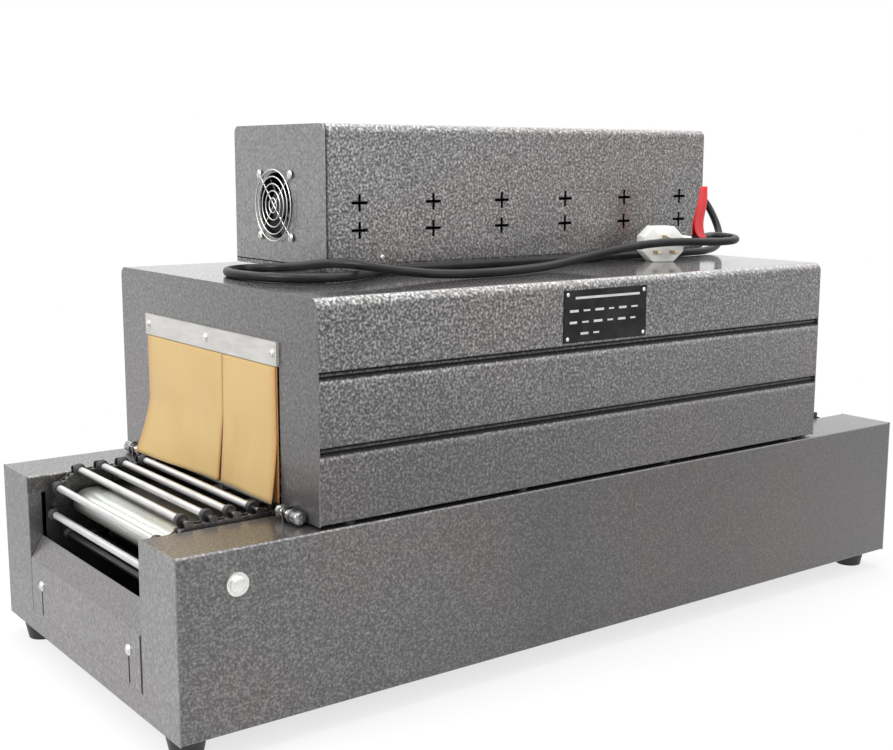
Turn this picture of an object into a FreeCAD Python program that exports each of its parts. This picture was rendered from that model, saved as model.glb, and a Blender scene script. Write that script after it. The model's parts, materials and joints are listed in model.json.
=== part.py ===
import FreeCAD, Part
import math
import os

V = FreeCAD.Vector

# Shrink tunnel for a table top: a roller chain conveyor in a long low base, a heated hood over
# its middle and a control box on the hood. Millimetres, +X along the conveyor from the entry to
# the exit, +Y towards the side with the controls, +Z up. The origin lies under the middle of
# the base, on the surface that the feet stand on.

# Base
base_length = 1050.0
base_width = 460.0
base_height = 178.0
base_sheet = 1.5
base_bend = 2.5
rail_width = 78.0
rail_flange = 20.0
rail_return = 62.0
frame_sill = 24.0
frame_return = 15.0
apron_fold_height = 85.0
apron_lean_in = 14.0
apron_lean_up = 24.5
apron_gap = 1.0
apron_slot_inset = 31.5
apron_slot_low = 27.0
apron_slot_high = 60.0
apron_slot_width = 3.2
backing_width = 55.0

# Feet
foot_height = 24.0
foot_top_radius = 21.0
foot_bottom_radius = 16.0
foot_inset_x = 24.0
foot_inset_y = 38.0
foot_recess_radius = 7.0
foot_recess_depth = 9.0

# Conveyor chain, drive chain and their sprockets
chain_pitch = 12.7
chain_roller_radius = 3.96
chain_plate_half_height = 5.9
chain_plate_thickness = 3.0
chain_inner_half = 4.0
plate_waist_share = 0.74
waist_length_share = 0.3
lug_half_width = 3.6
lug_over_rod_axis = 1.4
chain_to_frame = 0.9
axle_inset = 61.4
drive_chain_pitch = 9.525
drive_roller_radius = 3.17
drive_plate_half_height = 4.1
drive_pitches = 16
sprocket_teeth = 16
tooth_half_thickness = 3.6
tooth_seat_clearance = 0.25
tooth_tip_factor = 0.6
tooth_mouth_share = 0.4
hub_radius = 13.0
hub_length = 14.0
axis_height = 143.8
rod_radius = 4.0
rod_lift = 7.4
rod_spacing = 25.4

# Chain frame, shafts and bearings
frame_plate = 3.0
frame_end_clearance = 5.0
frame_foot = 25.0
chain_rail_width = 6.0
chain_rail_height = 6.2
ledge_thickness = 3.0
rail_clearance = 0.1
rail_end_gap = 34.0
shaft_radius = 7.5
running_clearance = 0.05
fixed_clearance = 0.02
bolt_radius = 4.0
bolt_reach = 20.0
washer_radius = 11.5
washer_thickness = 2.0
bolt_head_radius = 8.0
bolt_head_height = 3.2
bearing_radius = 13.3
bearing_length = 12.0
bearing_flange = 4.0
bearing_ear = 28.0
bearing_ear_radius = 8.0
bearing_hole_margin = 4.5
motor_hole_margin = 3.0
shaft_overhang = 4.0
crossbar_radius = 6.0
crossbar_places = (-240.0, -80.0, 80.0, 240.0)

# Gear motor and its chain
motor_size = 80.0
gearhead_length = 52.0
motor_length = 92.0
motor_axis_height = 50.0
motor_shaft_radius = 6.0
motor_shaft_seat = 25.0
motor_cap_length = 8.0
motor_fins = 6
motor_fin_pitch = 12.0
motor_fin_thickness = 4.0
drive_plane_gap = 33.0

# Bed sheet under the rods
bed_sheet = 1.2
bed_side_gap = 3.0
bed_nose_radius = 17.0
bed_drop = 10.8
bed_slope = 25.0
bed_nose_wrap = 110.0

# Hood
hood_length = 738.0
hood_shift = -4.0
hood_side_inset = 3.0
hood_height = 220.0
hood_gap = 3.0
hood_sheet = 1.2
hood_corner = 10.0
hood_flange = 22.0
groove_depth = 3.0
groove_width = 7.0
groove_floor = 2.4
groove_bend = 1.6
end_plate = 1.5
opening_side_gap = 2.0
opening_height = 149.0
opening_tab = 11.5
tab_relief = 1.0

# Chamber inside the hood
liner_sheet = 1.0
liner_side_gap = 2.0
liner_end_gap = 12.0
liner_top_height = 167.0
liner_foot = 12.0
insulation_top = 25.0
insulation_clearance = 0.3
heater_radius = 5.5
heater_end_gap = 22.0
upper_heater_places = (-105.0, -35.0, 35.0, 105.0)
lower_heater_places = (-80.0, 0.0, 80.0)
holder_thickness = 10.0
holder_width = 20.0
holder_wall = 5.0
upper_heater_drop = 8.5

# Curtains and their clamp strips
cloth_thickness = 0.8
cloth_gap = 0.1
cloth_side_clearance = 2.5
curtain_floor_clearance = 1.0
curtain_slit = 37.0
slit_gap = 1.0
strip_height = 24.0
strip_thickness = 3.0
strip_overlap = 2.0
flap_drop = 0.92

# Bolts that clamp the hood to the rails
clamp_bolt_radius = 6.0
clamp_bolt_start = 13.0
clamp_bolt_length = 41.0
clamp_lug = 4.0
clamp_lug_width = 16.0
clamp_lug_inset = 11.0

# Spacers under the hood
spacer_radius = 7.0
spacer_inset = 11.0
spacers_a_side = 4
spacer_end_inset = 39.0

# Control box
box_length = 600.0
box_end_inset = 8.0
box_depth = 208.0
box_back_inset = 50.0
box_height = 158.0
box_gap = 9.0
box_sheet = 1.2
box_corner = 9.0
box_flange = 14.0
slot_columns = 6
slot_pitch = 102.0
slot_rows = (71.0, 40.3)
slot_arm_x = 20.6
slot_arm_z = 18.3
slot_width = 2.5
floor_foot_radius = 9.0
floor_foot_inset_x = 40.0
floor_foot_inset_y = 32.0

# Cooling fan
fan_size = 80.0
fan_depth = 25.0
fan_hole_pitch = 71.5
fan_duct_radius = 38.0
fan_shift = 4.5
fan_height = 66.0
fan_hub_radius = 16.0
fan_blades = 7
fan_blade_clearance = 1.0
fan_blade_thickness = 1.4
fan_blade_pitch = 38.0
fan_arm_width = 5.0
fan_arm_thickness = 3.0
fan_pin_radius = 1.5
guard_rings = (10.0, 18.0, 26.0, 34.0, 42.0)
guard_wire = 1.6
guard_eye_radius = 4.2
fan_screw_radius = 2.2

# Controls on the back of the control box
rocker_shift = -207.0
rocker_width = 24.0
rocker_height = 28.0
rocker_clearance = 0.4
rocker_wall = 2.0
rocker_depth = 18.0
rocker_proud = 3.0
rocker_tilt = 7.0
rocker_pin_radius = 1.5
rocker_rim = 1.5
knob_shifts = {"temperature_knob": -97.0, "speed_knob": 13.0}
knob_radius = 15.0
knob_length = 15.0
knob_skirt = 18.0
knob_skirt_height = 3.0
knob_spindle = 3.0
knob_gap = 0.5
control_line = 96.0
potentiometer_radius = 11.0
potentiometer_length = 12.0
contactor_size = (60.0, 75.0, 82.0)
contactor_shift = 153.0
regulator_size = (90.0, 60.0, 45.0)
regulator_shift = 23.0
device_shift = -13.0

# Nameplate
plate_width = 123.0
plate_height = 57.0
plate_thickness = 1.0
plate_shift = -0.5
plate_below_top = 10.5

# Mains cord, gland, plug and tag
cord_radius = 5.0
cord_lie = 5.3
gland_shift = -25.0
gland_over_box = 79.0
gland_nut_radius = 12.0
gland_nut_length = 6.0
gland_body_radius = 9.5
gland_tip_radius = 6.5
gland_length = 30.0
plug_centre = (222.0, -84.0)
plug_turn = -25.0
plug_width = 54.0
plug_height = 45.0
plug_depth = 34.0
plug_chamfer = 13.0
plug_dome = 7.0
pin_width = 6.3
pin_thickness = 4.0
pin_length = 17.0
pin_spread = 22.0
pin_height = 13.0
earth_pin_height = 31.0
plug_cord_height = 25.0
plug_boss = 5.0
tag_width = 16.0
tag_thickness = 2.4
tag_top = 94.0
tag_wrap = 1.4
tag_wrap_width = 6.0
tag_clearance = 0.2
tag_run = -2

# Each chain's pitch, roller radius and half the height of its plates
conveyor_links = (chain_pitch, chain_roller_radius, chain_plate_half_height)
drive_links = (drive_chain_pitch, drive_roller_radius, drive_plate_half_height)

# Heights and places that follow from the sizes above
base_bottom = foot_height
base_top = base_bottom + base_height
floor_top = base_bottom + 2.0 * base_sheet
half_length = base_length / 2.0
half_width = base_width / 2.0
rail_inner = half_width - rail_width
apron_slot_y = rail_inner - base_sheet - apron_slot_inset
axis_z = base_bottom + axis_height
pitch_radius = chain_pitch / (2.0 * math.sin(math.pi / sprocket_teeth))
conveyor_pitches = math.floor((base_length - 2.0 * axle_inset) / chain_pitch)
rods_every = round(rod_spacing / chain_pitch)
axis_x = conveyor_pitches * chain_pitch / 2.0
drive_centres = drive_pitches * drive_chain_pitch
chain_half_width = chain_inner_half + chain_plate_thickness
frame_inner = rail_inner - frame_plate - 0.1
chain_y = frame_inner - chain_to_frame - chain_half_width
bed_half_width = chain_y - chain_half_width - bed_side_gap
frame_half = half_length - frame_return - frame_end_clearance
rod_track = pitch_radius + rod_lift
rod_top = axis_z + rod_track + rod_radius
hood_bottom = base_top + hood_gap
hood_top = hood_bottom + hood_height
hood_start = hood_shift - hood_length / 2.0
hood_end = hood_shift + hood_length / 2.0
hood_half = half_width - hood_side_inset
opening_half_width = rail_inner + opening_side_gap
opening_top = hood_bottom + opening_height
strip_bottom = opening_top - strip_overlap
liner_half = opening_half_width + liner_side_gap
liner_top = base_top + liner_top_height
clamp_bolt_inner = rail_inner + clamp_bolt_start
clamp_bolt_outer = clamp_bolt_inner + clamp_bolt_length
box_end = hood_end - box_end_inset
box_start = box_end - box_length
box_bottom = hood_top + box_gap
box_top = box_bottom + box_height
box_back = hood_half - box_back_inset
box_front = box_back - box_depth
box_middle_x = (box_start + box_end) / 2.0
box_middle_y = (box_front + box_back) / 2.0
rocker_x = box_middle_x + rocker_shift
knob_places = {name: box_middle_x + shift for name, shift in knob_shifts.items()}
contactor_x = box_middle_x + contactor_shift
regulator_x = box_middle_x + regulator_shift
device_y = box_middle_y + device_shift
fan_y = box_middle_y + fan_shift
gland_y = box_middle_y + gland_shift
gland_height = box_gap + gland_over_box
plate_x = hood_shift + plate_shift
motor_z = base_bottom + motor_axis_height
motor_drop = axis_z - motor_z
motor_x = axis_x - math.sqrt(drive_centres ** 2 - motor_drop ** 2)
drive_plane = rail_inner + drive_plane_gap
fan_z = box_bottom + fan_height


# Helpers for shapes

def block(x0, x1, y0, y1, z0, z1):
    return Part.makeBox(x1 - x0, y1 - y0, z1 - z0, V(x0, y0, z0))


def rod_along(axis, radius, start, end, a, b):
    """A cylinder along X, Y or Z from start to end; a and b are its other two coordinates."""
    bases = {"x": V(start, a, b), "y": V(a, start, b), "z": V(a, b, start)}
    directions = {"x": V(1, 0, 0), "y": V(0, 1, 0), "z": V(0, 0, 1)}
    return Part.makeCylinder(radius, end - start, bases[axis], directions[axis])


def turned(points, centre, direction):
    """A solid of revolution from (radius, height) points, standing on centre along direction."""
    wire = Part.makePolygon([V(r, 0, h) for r, h in points] + [V(points[0][0], 0, points[0][1])])
    solid = Part.Face(wire).revolve(V(0, 0, 0), V(0, 0, 1), 360)
    turn = FreeCAD.Rotation(V(0, 0, 1), direction)
    solid.Placement = FreeCAD.Placement(centre, turn)
    return solid


def prism(points, place, length):
    """A polygon, placed point by point in space by the function place, drawn out by length."""
    corners = [place(a, b) for a, b in points]
    return Part.Face(Part.makePolygon(corners + corners[:1])).extrude(length)


def rounded_plate(width_from, width_to, low, high, corner, place, length):
    """A plate with two round upper corners."""
    s = corner * (1.0 - math.sqrt(0.5))
    p = place
    edges = [
        Part.LineSegment(p(width_from, low), p(width_from, high - corner)).toShape(),
        Part.Arc(p(width_from, high - corner), p(width_from + s, high - s),
                 p(width_from + corner, high)).toShape(),
        Part.LineSegment(p(width_from + corner, high), p(width_to - corner, high)).toShape(),
        Part.Arc(p(width_to - corner, high), p(width_to - s, high - s),
                 p(width_to, high - corner)).toShape(),
        Part.LineSegment(p(width_to, high - corner), p(width_to, low)).toShape(),
        Part.LineSegment(p(width_to, low), p(width_from, low)).toShape(),
    ]
    return Part.Face(Part.Wire(edges)).extrude(length)


def bent_sheet(points, thickness, side, place, length):
    """Folded sheet metal: a line of (a, b, bend) points is one face of the sheet, the other face
    lies one thickness to its left (side 1) or right (side -1), and each fold is an arc."""
    outer = []
    inner = []
    last = len(points) - 1
    for i, (a, b, bend) in enumerate(points):
        here = V(a, b, 0)
        if i == 0 or i == last:
            other = points[1] if i == 0 else points[last - 1]
            along = here - V(other[0], other[1], 0)
            if i == 0:
                along = along * -1
            along.normalize()
            normal = V(-along.y, along.x, 0) * side
            outer.append([here])
            inner.append([here + normal * thickness])
            continue
        into = here - V(points[i - 1][0], points[i - 1][1], 0)
        out = V(points[i + 1][0], points[i + 1][1], 0) - here
        into.normalize()
        out.normalize()
        cross = into.x * out.y - into.y * out.x
        turn_side = 1 if cross > 0 else -1
        half = math.atan2(abs(cross), into.dot(out)) / 2.0
        radius = bend if turn_side == side else bend - thickness
        other_radius = bend - thickness if turn_side == side else bend
        start = here - into * (radius * math.tan(half))
        finish = here + out * (radius * math.tan(half))
        centre = start + V(-into.y, into.x, 0) * (turn_side * radius)
        middle = here - centre
        middle.normalize()
        rays = [start - centre, middle * radius, finish - centre]
        outer.append([centre + ray for ray in rays])
        inner.append([centre + ray * (other_radius / radius) for ray in rays])
    inner.reverse()
    rings = outer + [group[::-1] for group in inner]
    edges = []
    for i, group in enumerate(rings):
        spots = [place(q.x, q.y) for q in group]
        if len(spots) == 3:
            edges.append(Part.Arc(*spots).toShape())
        following = rings[(i + 1) % len(rings)][0]
        edges.append(Part.LineSegment(spots[-1], place(following.x, following.y)).toShape())
    return Part.Face(Part.Wire(edges)).extrude(length)


def joined(shapes):
    return shapes[0].multiFuse(shapes[1:]).removeSplitter()


def group_of(shapes):
    return Part.makeCompound(shapes)


def mirrored_y(shape):
    return shape.mirror(V(0, 0, 0), V(0, 1, 0))


def mirrored_x(shape, plane=0.0):
    return shape.mirror(V(plane, 0, 0), V(1, 0, 0))


# Base: side casings, end frames, aprons, floor and feet

def base_casing():
    """The front side casing: bottom return, outer wall, rail top and a short inner flange."""
    start = -half_length + base_sheet
    profile = [
        (-half_width + rail_return, base_bottom, 0),
        (-half_width, base_bottom, base_bend),
        (-half_width, base_top, base_bend),
        (-rail_inner, base_top, base_bend),
        (-rail_inner, base_top - rail_flange, 0),
    ]
    shell = bent_sheet(profile, base_sheet, -1, lambda a, b: V(start, a, b),
                       V(base_length - 2.0 * base_sheet, 0, 0))
    hole = rod_along("y", bolt_radius + 0.3, -half_width - 1.0, -half_width + base_sheet + 1.0,
                     -axis_x, axis_z)
    return shell.cut(hole)


def end_frame():
    """The entry end frame: a U-shaped plate with returns and backing strips for the apron."""
    x0 = -half_length
    x1 = x0 + base_sheet
    plate = block(x0, x1, -half_width, half_width, base_bottom, base_top)
    notch = block(x0 - 1.0, x1 + 1.0, -rail_inner, rail_inner, base_bottom + frame_sill,
                  base_top + 1.0)
    pieces = [plate.cut(notch)]
    low = base_bottom + frame_sill
    high = base_top - rail_flange
    inner_face = rail_inner - base_sheet
    for side in (-1, 1):
        y0, y1 = sorted((side * inner_face, side * rail_inner))
        pieces.append(block(x0 + 0.1, x0 + frame_return, y0, y1, low - 0.1, high))
        y0, y1 = sorted((side * (inner_face - backing_width), side * rail_inner))
        strip_top = base_bottom + apron_fold_height - base_bend - 2.0
        pieces.append(block(x1, x1 + base_sheet, y0, y1, low - 10.0, strip_top))
    frame = joined(pieces)
    for side in (-1, 1):
        hole = rod_along("x", apron_slot_width / 2.0, x1 - 1.0, x1 + base_sheet + 1.0,
                         side * apron_slot_y, base_bottom + apron_slot_high)
        frame = frame.cut(hole)
    return frame


def apron():
    """The entry apron: flush between the legs, leaning in above its fold, with two slots."""
    x0 = -half_length
    half = rail_inner - base_sheet - apron_gap
    fold = base_bottom + apron_fold_height
    profile = [
        (x0, base_bottom + frame_sill + 0.2, 0),
        (x0, fold, base_bend),
        (x0 + apron_lean_in, fold + apron_lean_up, 0),
    ]
    panel = bent_sheet(profile, base_sheet, -1, lambda a, b: V(a, -half, b), V(0, 2.0 * half, 0))
    low = base_bottom + apron_slot_low
    high = base_bottom + apron_slot_high
    r = apron_slot_width / 2.0
    for side in (-1, 1):
        y = side * apron_slot_y
        slot = joined([
            block(x0 - 1.0, x0 + base_sheet + 1.0, y - r, y + r, low, high),
            rod_along("x", r, x0 - 1.0, x0 + base_sheet + 1.0, y, low),
            rod_along("x", r, x0 - 1.0, x0 + base_sheet + 1.0, y, high),
        ])
        panel = panel.cut(slot)
    return panel


def base_floor():
    edge = half_width - base_bend - base_sheet
    end = half_length - base_sheet
    return block(-end, end, -edge, edge, base_bottom + base_sheet, floor_top)


def rubber_feet():
    profile = [
        (0.0, foot_height),
        (foot_top_radius, foot_height),
        (foot_bottom_radius, 0.0),
        (foot_recess_radius, 0.0),
        (foot_recess_radius, foot_recess_depth),
        (0.0, foot_recess_depth),
    ]
    feet = []
    for sx in (-1, 1):
        for sy in (-1, 1):
            spot = V(sx * (half_length - foot_inset_x), sy * (half_width - foot_inset_y), 0)
            feet.append(turned(profile, spot, V(0, 0, 1)))
    return group_of(feet)


# Chain and sprockets

def sprocket(chain, x, y, z, bore, hub_side, phase=0.0):
    """A sprocket in the plane at y: a disc whose tooth gaps are cut by a roller's seat and by a
    wedge that opens outwards, with a hub on the side that hub_side gives."""
    pitch, roller = chain[:2]
    seat_circle = pitch / (2.0 * math.sin(math.pi / sprocket_teeth))
    tip = pitch * (tooth_tip_factor + 1.0 / math.tan(math.pi / sprocket_teeth)) / 2.0
    disc = rod_along("y", tip, y - tooth_half_thickness, y + tooth_half_thickness, x, z)
    step = 2.0 * math.pi / sprocket_teeth
    seat = roller + tooth_seat_clearance
    mouth = step * (tip + 1.0) * tooth_mouth_share
    cutters = []
    for k in range(sprocket_teeth):
        angle = k * step + phase
        ray = V(math.cos(angle), 0, math.sin(angle))
        across = V(-math.sin(angle), 0, math.cos(angle))
        middle = V(x, y - tooth_half_thickness - 1.0, z)
        seat_centre = middle + ray * seat_circle
        through = V(0, 2.0 * tooth_half_thickness + 2.0, 0)
        cutters.append(Part.makeCylinder(seat, through.y, seat_centre, V(0, 1, 0)))
        far = middle + ray * (tip + 1.0)
        corners = [seat_centre - across * seat, far - across * mouth, far + across * mouth,
                   seat_centre + across * seat]
        cutters.append(Part.Face(Part.makePolygon(corners + corners[:1])).extrude(through))
    toothed = disc.cut(cutters)
    near = y + hub_side * tooth_half_thickness
    far = near + hub_side * hub_length
    hub = rod_along("y", hub_radius, min(near, far), max(near, far), x, z)
    hole = rod_along("y", bore, y - 2.0 * hub_length, y + 2.0 * hub_length, x, z)
    return toothed.fuse(hub).cut(hole).removeSplitter()


def loop_face(radius, centres):
    """A face bounded by two half circles and two straight lines, in the XZ plane."""
    r = radius
    edges = [
        Part.Arc(V(0, 0, r), V(-r, 0, 0), V(0, 0, -r)).toShape(),
        Part.LineSegment(V(0, 0, -r), V(centres, 0, -r)).toShape(),
        Part.Arc(V(centres, 0, -r), V(centres + r, 0, 0), V(centres, 0, r)).toShape(),
        Part.LineSegment(V(centres, 0, r), V(0, 0, r)).toShape(),
    ]
    return Part.Face(Part.Wire(edges))


def chain_pins(pitch, straight):
    """The middles of a chain's pins round two equal sprockets that stand a number of straight
    pitches apart along X: half a turn, the lower run, half a turn and the upper run."""
    radius = pitch / (2.0 * math.sin(math.pi / sprocket_teeth))
    step = 2.0 * math.pi / sprocket_teeth
    span = straight * pitch
    pins = []
    for k in range(sprocket_teeth // 2):
        angle = math.pi / 2.0 + k * step
        pins.append(V(radius * math.cos(angle), 0, radius * math.sin(angle)))
    for k in range(straight):
        pins.append(V(k * pitch, 0, -radius))
    for k in range(sprocket_teeth // 2):
        angle = -math.pi / 2.0 + k * step
        pins.append(V(span + radius * math.cos(angle), 0, radius * math.sin(angle)))
    for k in range(straight):
        pins.append(V(span - k * pitch, 0, radius))
    return pins


def plate_face(pins, crown, lug_height):
    """A face inside the outer edge of the link plates: an arc over each pin and a straight waist
    between, or a square lug there on each link that carries a rod."""
    half_waist = (pins[1] - pins[0]).Length * waist_length_share / 2.0
    waists = []
    for i, pin in enumerate(pins):
        along = pins[(i + 1) % len(pins)] - pin
        middle = pin + along * 0.5
        along.normalize()
        out = V(along.z, 0, -along.x)
        low = middle + out * (crown * plate_waist_share)
        if lug_height and i % rods_every == 0:
            lug = along * lug_half_width
            top = middle + out * lug_height
            waists.append([low - lug, top - lug, top + lug, low + lug])
        else:
            waists.append([low - along * half_waist, low + along * half_waist])
    edges = []
    for i, pin in enumerate(pins):
        before, after = waists[i - 1][-1], waists[i][0]
        bisector = (before - pin) + (after - pin)
        bisector.normalize()
        edges.append(Part.Arc(before, pin + bisector * crown, after).toShape())
        for a, b in zip(waists[i], waists[i][1:]):
            edges.append(Part.LineSegment(a, b).toShape())
    return Part.Face(Part.Wire(edges))


def roller_chain(chain, straight, start, turn, y, lug_height=0.0):
    """A closed chain round two equal sprockets: two rows of link plates, and on each straight
    run one bar for the row of rollers. The wraps are open, so that every tooth passes."""
    pitch, roller, plate_half = chain
    pins = chain_pins(pitch, straight)
    middle = pins[0].z
    centres = straight * pitch
    ring = plate_face(pins, plate_half, lug_height).cut(loop_face(middle - plate_half, centres))
    pieces = []
    for side in (-1, 1):
        edge = y + side * chain_inner_half + (0 if side > 0 else -chain_plate_thickness)
        row = ring.copy()
        row.translate(V(0, edge, 0))
        pieces.append(row.extrude(V(0, chain_plate_thickness, 0)))
    for z in (-middle, middle):
        pieces.append(block(2.0 * pitch, centres - 2.0 * pitch, y - chain_inner_half - 0.5,
                            y + chain_inner_half + 0.5, z - roller, z + roller))
    whole = joined(pieces)
    whole.rotate(V(0, 0, 0), V(0, 1, 0), turn)
    whole.translate(start)
    return whole


def conveyor_chain():
    return roller_chain(conveyor_links, conveyor_pitches, V(-axis_x, 0, axis_z), 0.0, -chain_y,
                        rod_lift + lug_over_rod_axis)


def rod_places():
    """Where the rods cross the chain loop: at the middle of every second link, first along the
    entry wrap, then the lower run, the exit wrap and the upper run."""
    step = 2.0 * math.pi / sprocket_teeth
    half_wrap = sprocket_teeth // 2
    places = []
    for i in range(0, 2 * (half_wrap + conveyor_pitches), rods_every):
        if i < half_wrap:
            angle = math.pi / 2.0 + (i + 0.5) * step
            places.append((-axis_x + rod_track * math.cos(angle), rod_track * math.sin(angle)))
        elif i < half_wrap + conveyor_pitches:
            along = (i - half_wrap + 0.5) * chain_pitch
            places.append((-axis_x + along, -rod_track))
        elif i < 2 * half_wrap + conveyor_pitches:
            angle = -math.pi / 2.0 + (i - half_wrap - conveyor_pitches + 0.5) * step
            places.append((axis_x + rod_track * math.cos(angle), rod_track * math.sin(angle)))
        else:
            along = (i - 2 * half_wrap - conveyor_pitches + 0.5) * chain_pitch
            places.append((axis_x - along, rod_track))
    return places


def conveyor_rods():
    reach = chain_y - chain_half_width
    return group_of([rod_along("y", rod_radius, -reach, reach, x, axis_z + z)
                     for x, z in rod_places()])


# Chain frames, shafts, bearings and bolts

def chain_frame():
    """The front chain frame: a side plate, the foot strip along it, and on its inner face two
    ledges, each with a rail that the rollers run on."""
    outer = frame_inner + frame_plate
    plate_top = base_top - rail_flange - 0.3
    run = axis_x - rail_end_gap
    rail_half = chain_rail_width / 2.0
    upper_ledge = axis_z + pitch_radius - chain_roller_radius - rail_clearance - chain_rail_height
    # The upper rail stands above the plate, so an upstand carries its ledge.
    plate = joined([block(-frame_half, frame_half, -outer, -frame_inner, floor_top, plate_top),
                    block(-run, run, -outer + 0.2, -frame_inner, plate_top - 1.0, upper_ledge)])
    holes = [rod_along("y", shaft_radius + margin, -outer - 1.0, -frame_inner + 1.0, x, axis_z)
             for x, margin in ((-axis_x, running_clearance), (axis_x, bearing_hole_margin))]
    solids = [plate.cut(holes),
              block(-frame_half, frame_half, -outer - frame_foot, -outer, floor_top,
                    floor_top + frame_plate)]
    for line in (axis_z + pitch_radius, axis_z - pitch_radius):
        rail_top = line - chain_roller_radius - rail_clearance
        rail_low = rail_top - chain_rail_height
        solids.append(block(-run, run, -chain_y - rail_half, -chain_y + rail_half, rail_low,
                            rail_top))
        solids.append(block(-run, run, -frame_inner, -chain_y + rail_half,
                            rail_low - ledge_thickness, rail_low))
    return group_of(solids)


def back_chain_frame():
    frame = mirrored_y(chain_frame())
    hole = rod_along("y", motor_shaft_radius + motor_hole_margin, frame_inner - 1.0,
                     frame_inner + frame_plate + 1.0, motor_x, motor_z)
    return group_of([frame.Solids[0].cut(hole)] + frame.Solids[1:])


def cross_bars():
    top = bed_level() - bed_drop - bed_sheet
    z = top - crossbar_radius
    return group_of([rod_along("y", crossbar_radius, -frame_inner, frame_inner, x, z)
                     for x in crossbar_places])


def bed_level():
    return axis_z + bed_nose_radius


def bed_pan():
    """The bed sheet: rolled round each shaft at its ends, flat, and lower inside the chamber,
    where the lower heaters lie on it."""
    wrap = math.radians(bed_nose_wrap)
    tip_x = -axis_x - bed_nose_radius * math.sin(wrap)
    tip_z = axis_z + bed_nose_radius * math.cos(wrap)
    half_x = -axis_x - bed_nose_radius * math.sin(wrap / 2.0)
    half_z = axis_z + bed_nose_radius * math.cos(wrap / 2.0)
    level = bed_level()
    inner = bed_nose_radius - bed_sheet
    in_x = -axis_x - inner * math.sin(wrap)
    in_z = axis_z + inner * math.cos(wrap)
    in_half_x = -axis_x - inner * math.sin(wrap / 2.0)
    in_half_z = axis_z + inner * math.cos(wrap / 2.0)
    y = -bed_half_width
    nose = Part.Wire([
        Part.Arc(V(tip_x, y, tip_z), V(half_x, y, half_z), V(-axis_x, y, level)).toShape(),
        Part.LineSegment(V(-axis_x, y, level), V(-axis_x, y, level - bed_sheet)).toShape(),
        Part.Arc(V(-axis_x, y, level - bed_sheet), V(in_half_x, y, in_half_z),
                 V(in_x, y, in_z)).toShape(),
        Part.LineSegment(V(in_x, y, in_z), V(tip_x, y, tip_z)).toShape(),
    ])
    rolled = Part.Face(nose).extrude(V(0, 2.0 * bed_half_width, 0))
    first = hood_start
    last = hood_end
    line = [
        (-axis_x, level, 0),
        (first, level, 3.0),
        (first + bed_slope, level - bed_drop, 3.0),
        (last - bed_slope, level - bed_drop, 3.0),
        (last, level, 3.0),
        (axis_x, level, 0),
    ]
    flat = bent_sheet(line, bed_sheet, -1, lambda a, b: V(a, y, b), V(0, 2.0 * bed_half_width, 0))
    return joined([rolled, flat, mirrored_x(rolled)])


def idler_shaft():
    reach = half_width - base_sheet
    shaft = rod_along("y", shaft_radius, -reach, reach, -axis_x, axis_z)
    hole = bolt_radius + running_clearance
    for side in (-1, 1):
        y0, y1 = sorted((side * (reach - bolt_reach - 1.0), side * (reach + 1.0)))
        shaft = shaft.cut(rod_along("y", hole, y0, y1, -axis_x, axis_z))
    return shaft


def shaft_end_bolts():
    """The bolts that hold the idler shaft through the casings: a shank, a washer and a head."""
    profile = [
        (0.0, -bolt_reach - base_sheet),
        (bolt_radius, -bolt_reach - base_sheet),
        (bolt_radius, 0.0),
        (washer_radius, 0.0),
        (washer_radius, washer_thickness),
        (bolt_head_radius, washer_thickness),
        (bolt_head_radius, washer_thickness + bolt_head_height - 1.0),
        (bolt_head_radius - 2.0, washer_thickness + bolt_head_height),
        (0.0, washer_thickness + bolt_head_height),
    ]
    front = turned(profile, V(-axis_x, -half_width, axis_z), V(0, -1, 0))
    back = turned(profile, V(-axis_x, half_width, axis_z), V(0, 1, 0))
    return group_of([front, back])


def drive_shaft():
    low = -(frame_inner + frame_plate + bearing_length + shaft_overhang)
    high = drive_plane + tooth_half_thickness + shaft_overhang
    return rod_along("y", shaft_radius, low, high, axis_x, axis_z)


def flange_bearings():
    """Two flange bearings, one outside each chain frame: an oval flange and a round housing."""
    bearings = []
    for side in (-1, 1):
        seat = side * (frame_inner + frame_plate)
        f0, f1 = sorted((seat, seat + side * bearing_flange))
        b0, b1 = sorted((seat, seat + side * bearing_length))
        ear = bearing_ear - bearing_ear_radius
        parts = [rod_along("y", bearing_radius, b0, b1, axis_x, axis_z),
                 block(axis_x - ear, axis_x + ear, f0, f1, axis_z - bearing_ear_radius,
                       axis_z + bearing_ear_radius)]
        for end in (-1, 1):
            parts.append(rod_along("y", bearing_ear_radius, f0, f1, axis_x + end * ear, axis_z))
        bore = rod_along("y", shaft_radius + running_clearance, b0 - 1.0, b1 + 1.0, axis_x,
                         axis_z)
        bearings.append(joined(parts).cut(bore))
    return group_of(bearings)


# Gear motor and its chain drive

def gear_motor():
    """A square gearhead bolted to the back chain frame and a round finned motor behind it."""
    half = motor_size / 2.0
    y2 = frame_inner
    y1 = y2 - gearhead_length
    y0 = y1 - motor_length
    head = block(motor_x - half, motor_x + half, y1, y2, motor_z - half, motor_z + half)
    cap_end = y0 + motor_cap_length
    body = rod_along("y", half - 1.5, cap_end, y1, motor_x, motor_z)
    cap = rod_along("y", half - 6.0, y0, cap_end, motor_x, motor_z)
    fins = []
    for k in range(motor_fins):
        fin_end = y1 - motor_fin_pitch * (k + 1) + 2.0
        fins.append(rod_along("y", half - 0.2, fin_end - motor_fin_thickness, fin_end, motor_x,
                              motor_z))
    bore = rod_along("y", motor_shaft_radius + running_clearance, y2 - motor_shaft_seat - 1.0,
                     y2 + 1.0, motor_x, motor_z)
    return joined([head, body, cap] + fins).cut(bore)


def motor_shaft():
    return rod_along("y", motor_shaft_radius, frame_inner - motor_shaft_seat,
                     drive_plane + tooth_half_thickness + shaft_overhang, motor_x, motor_z)


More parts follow.
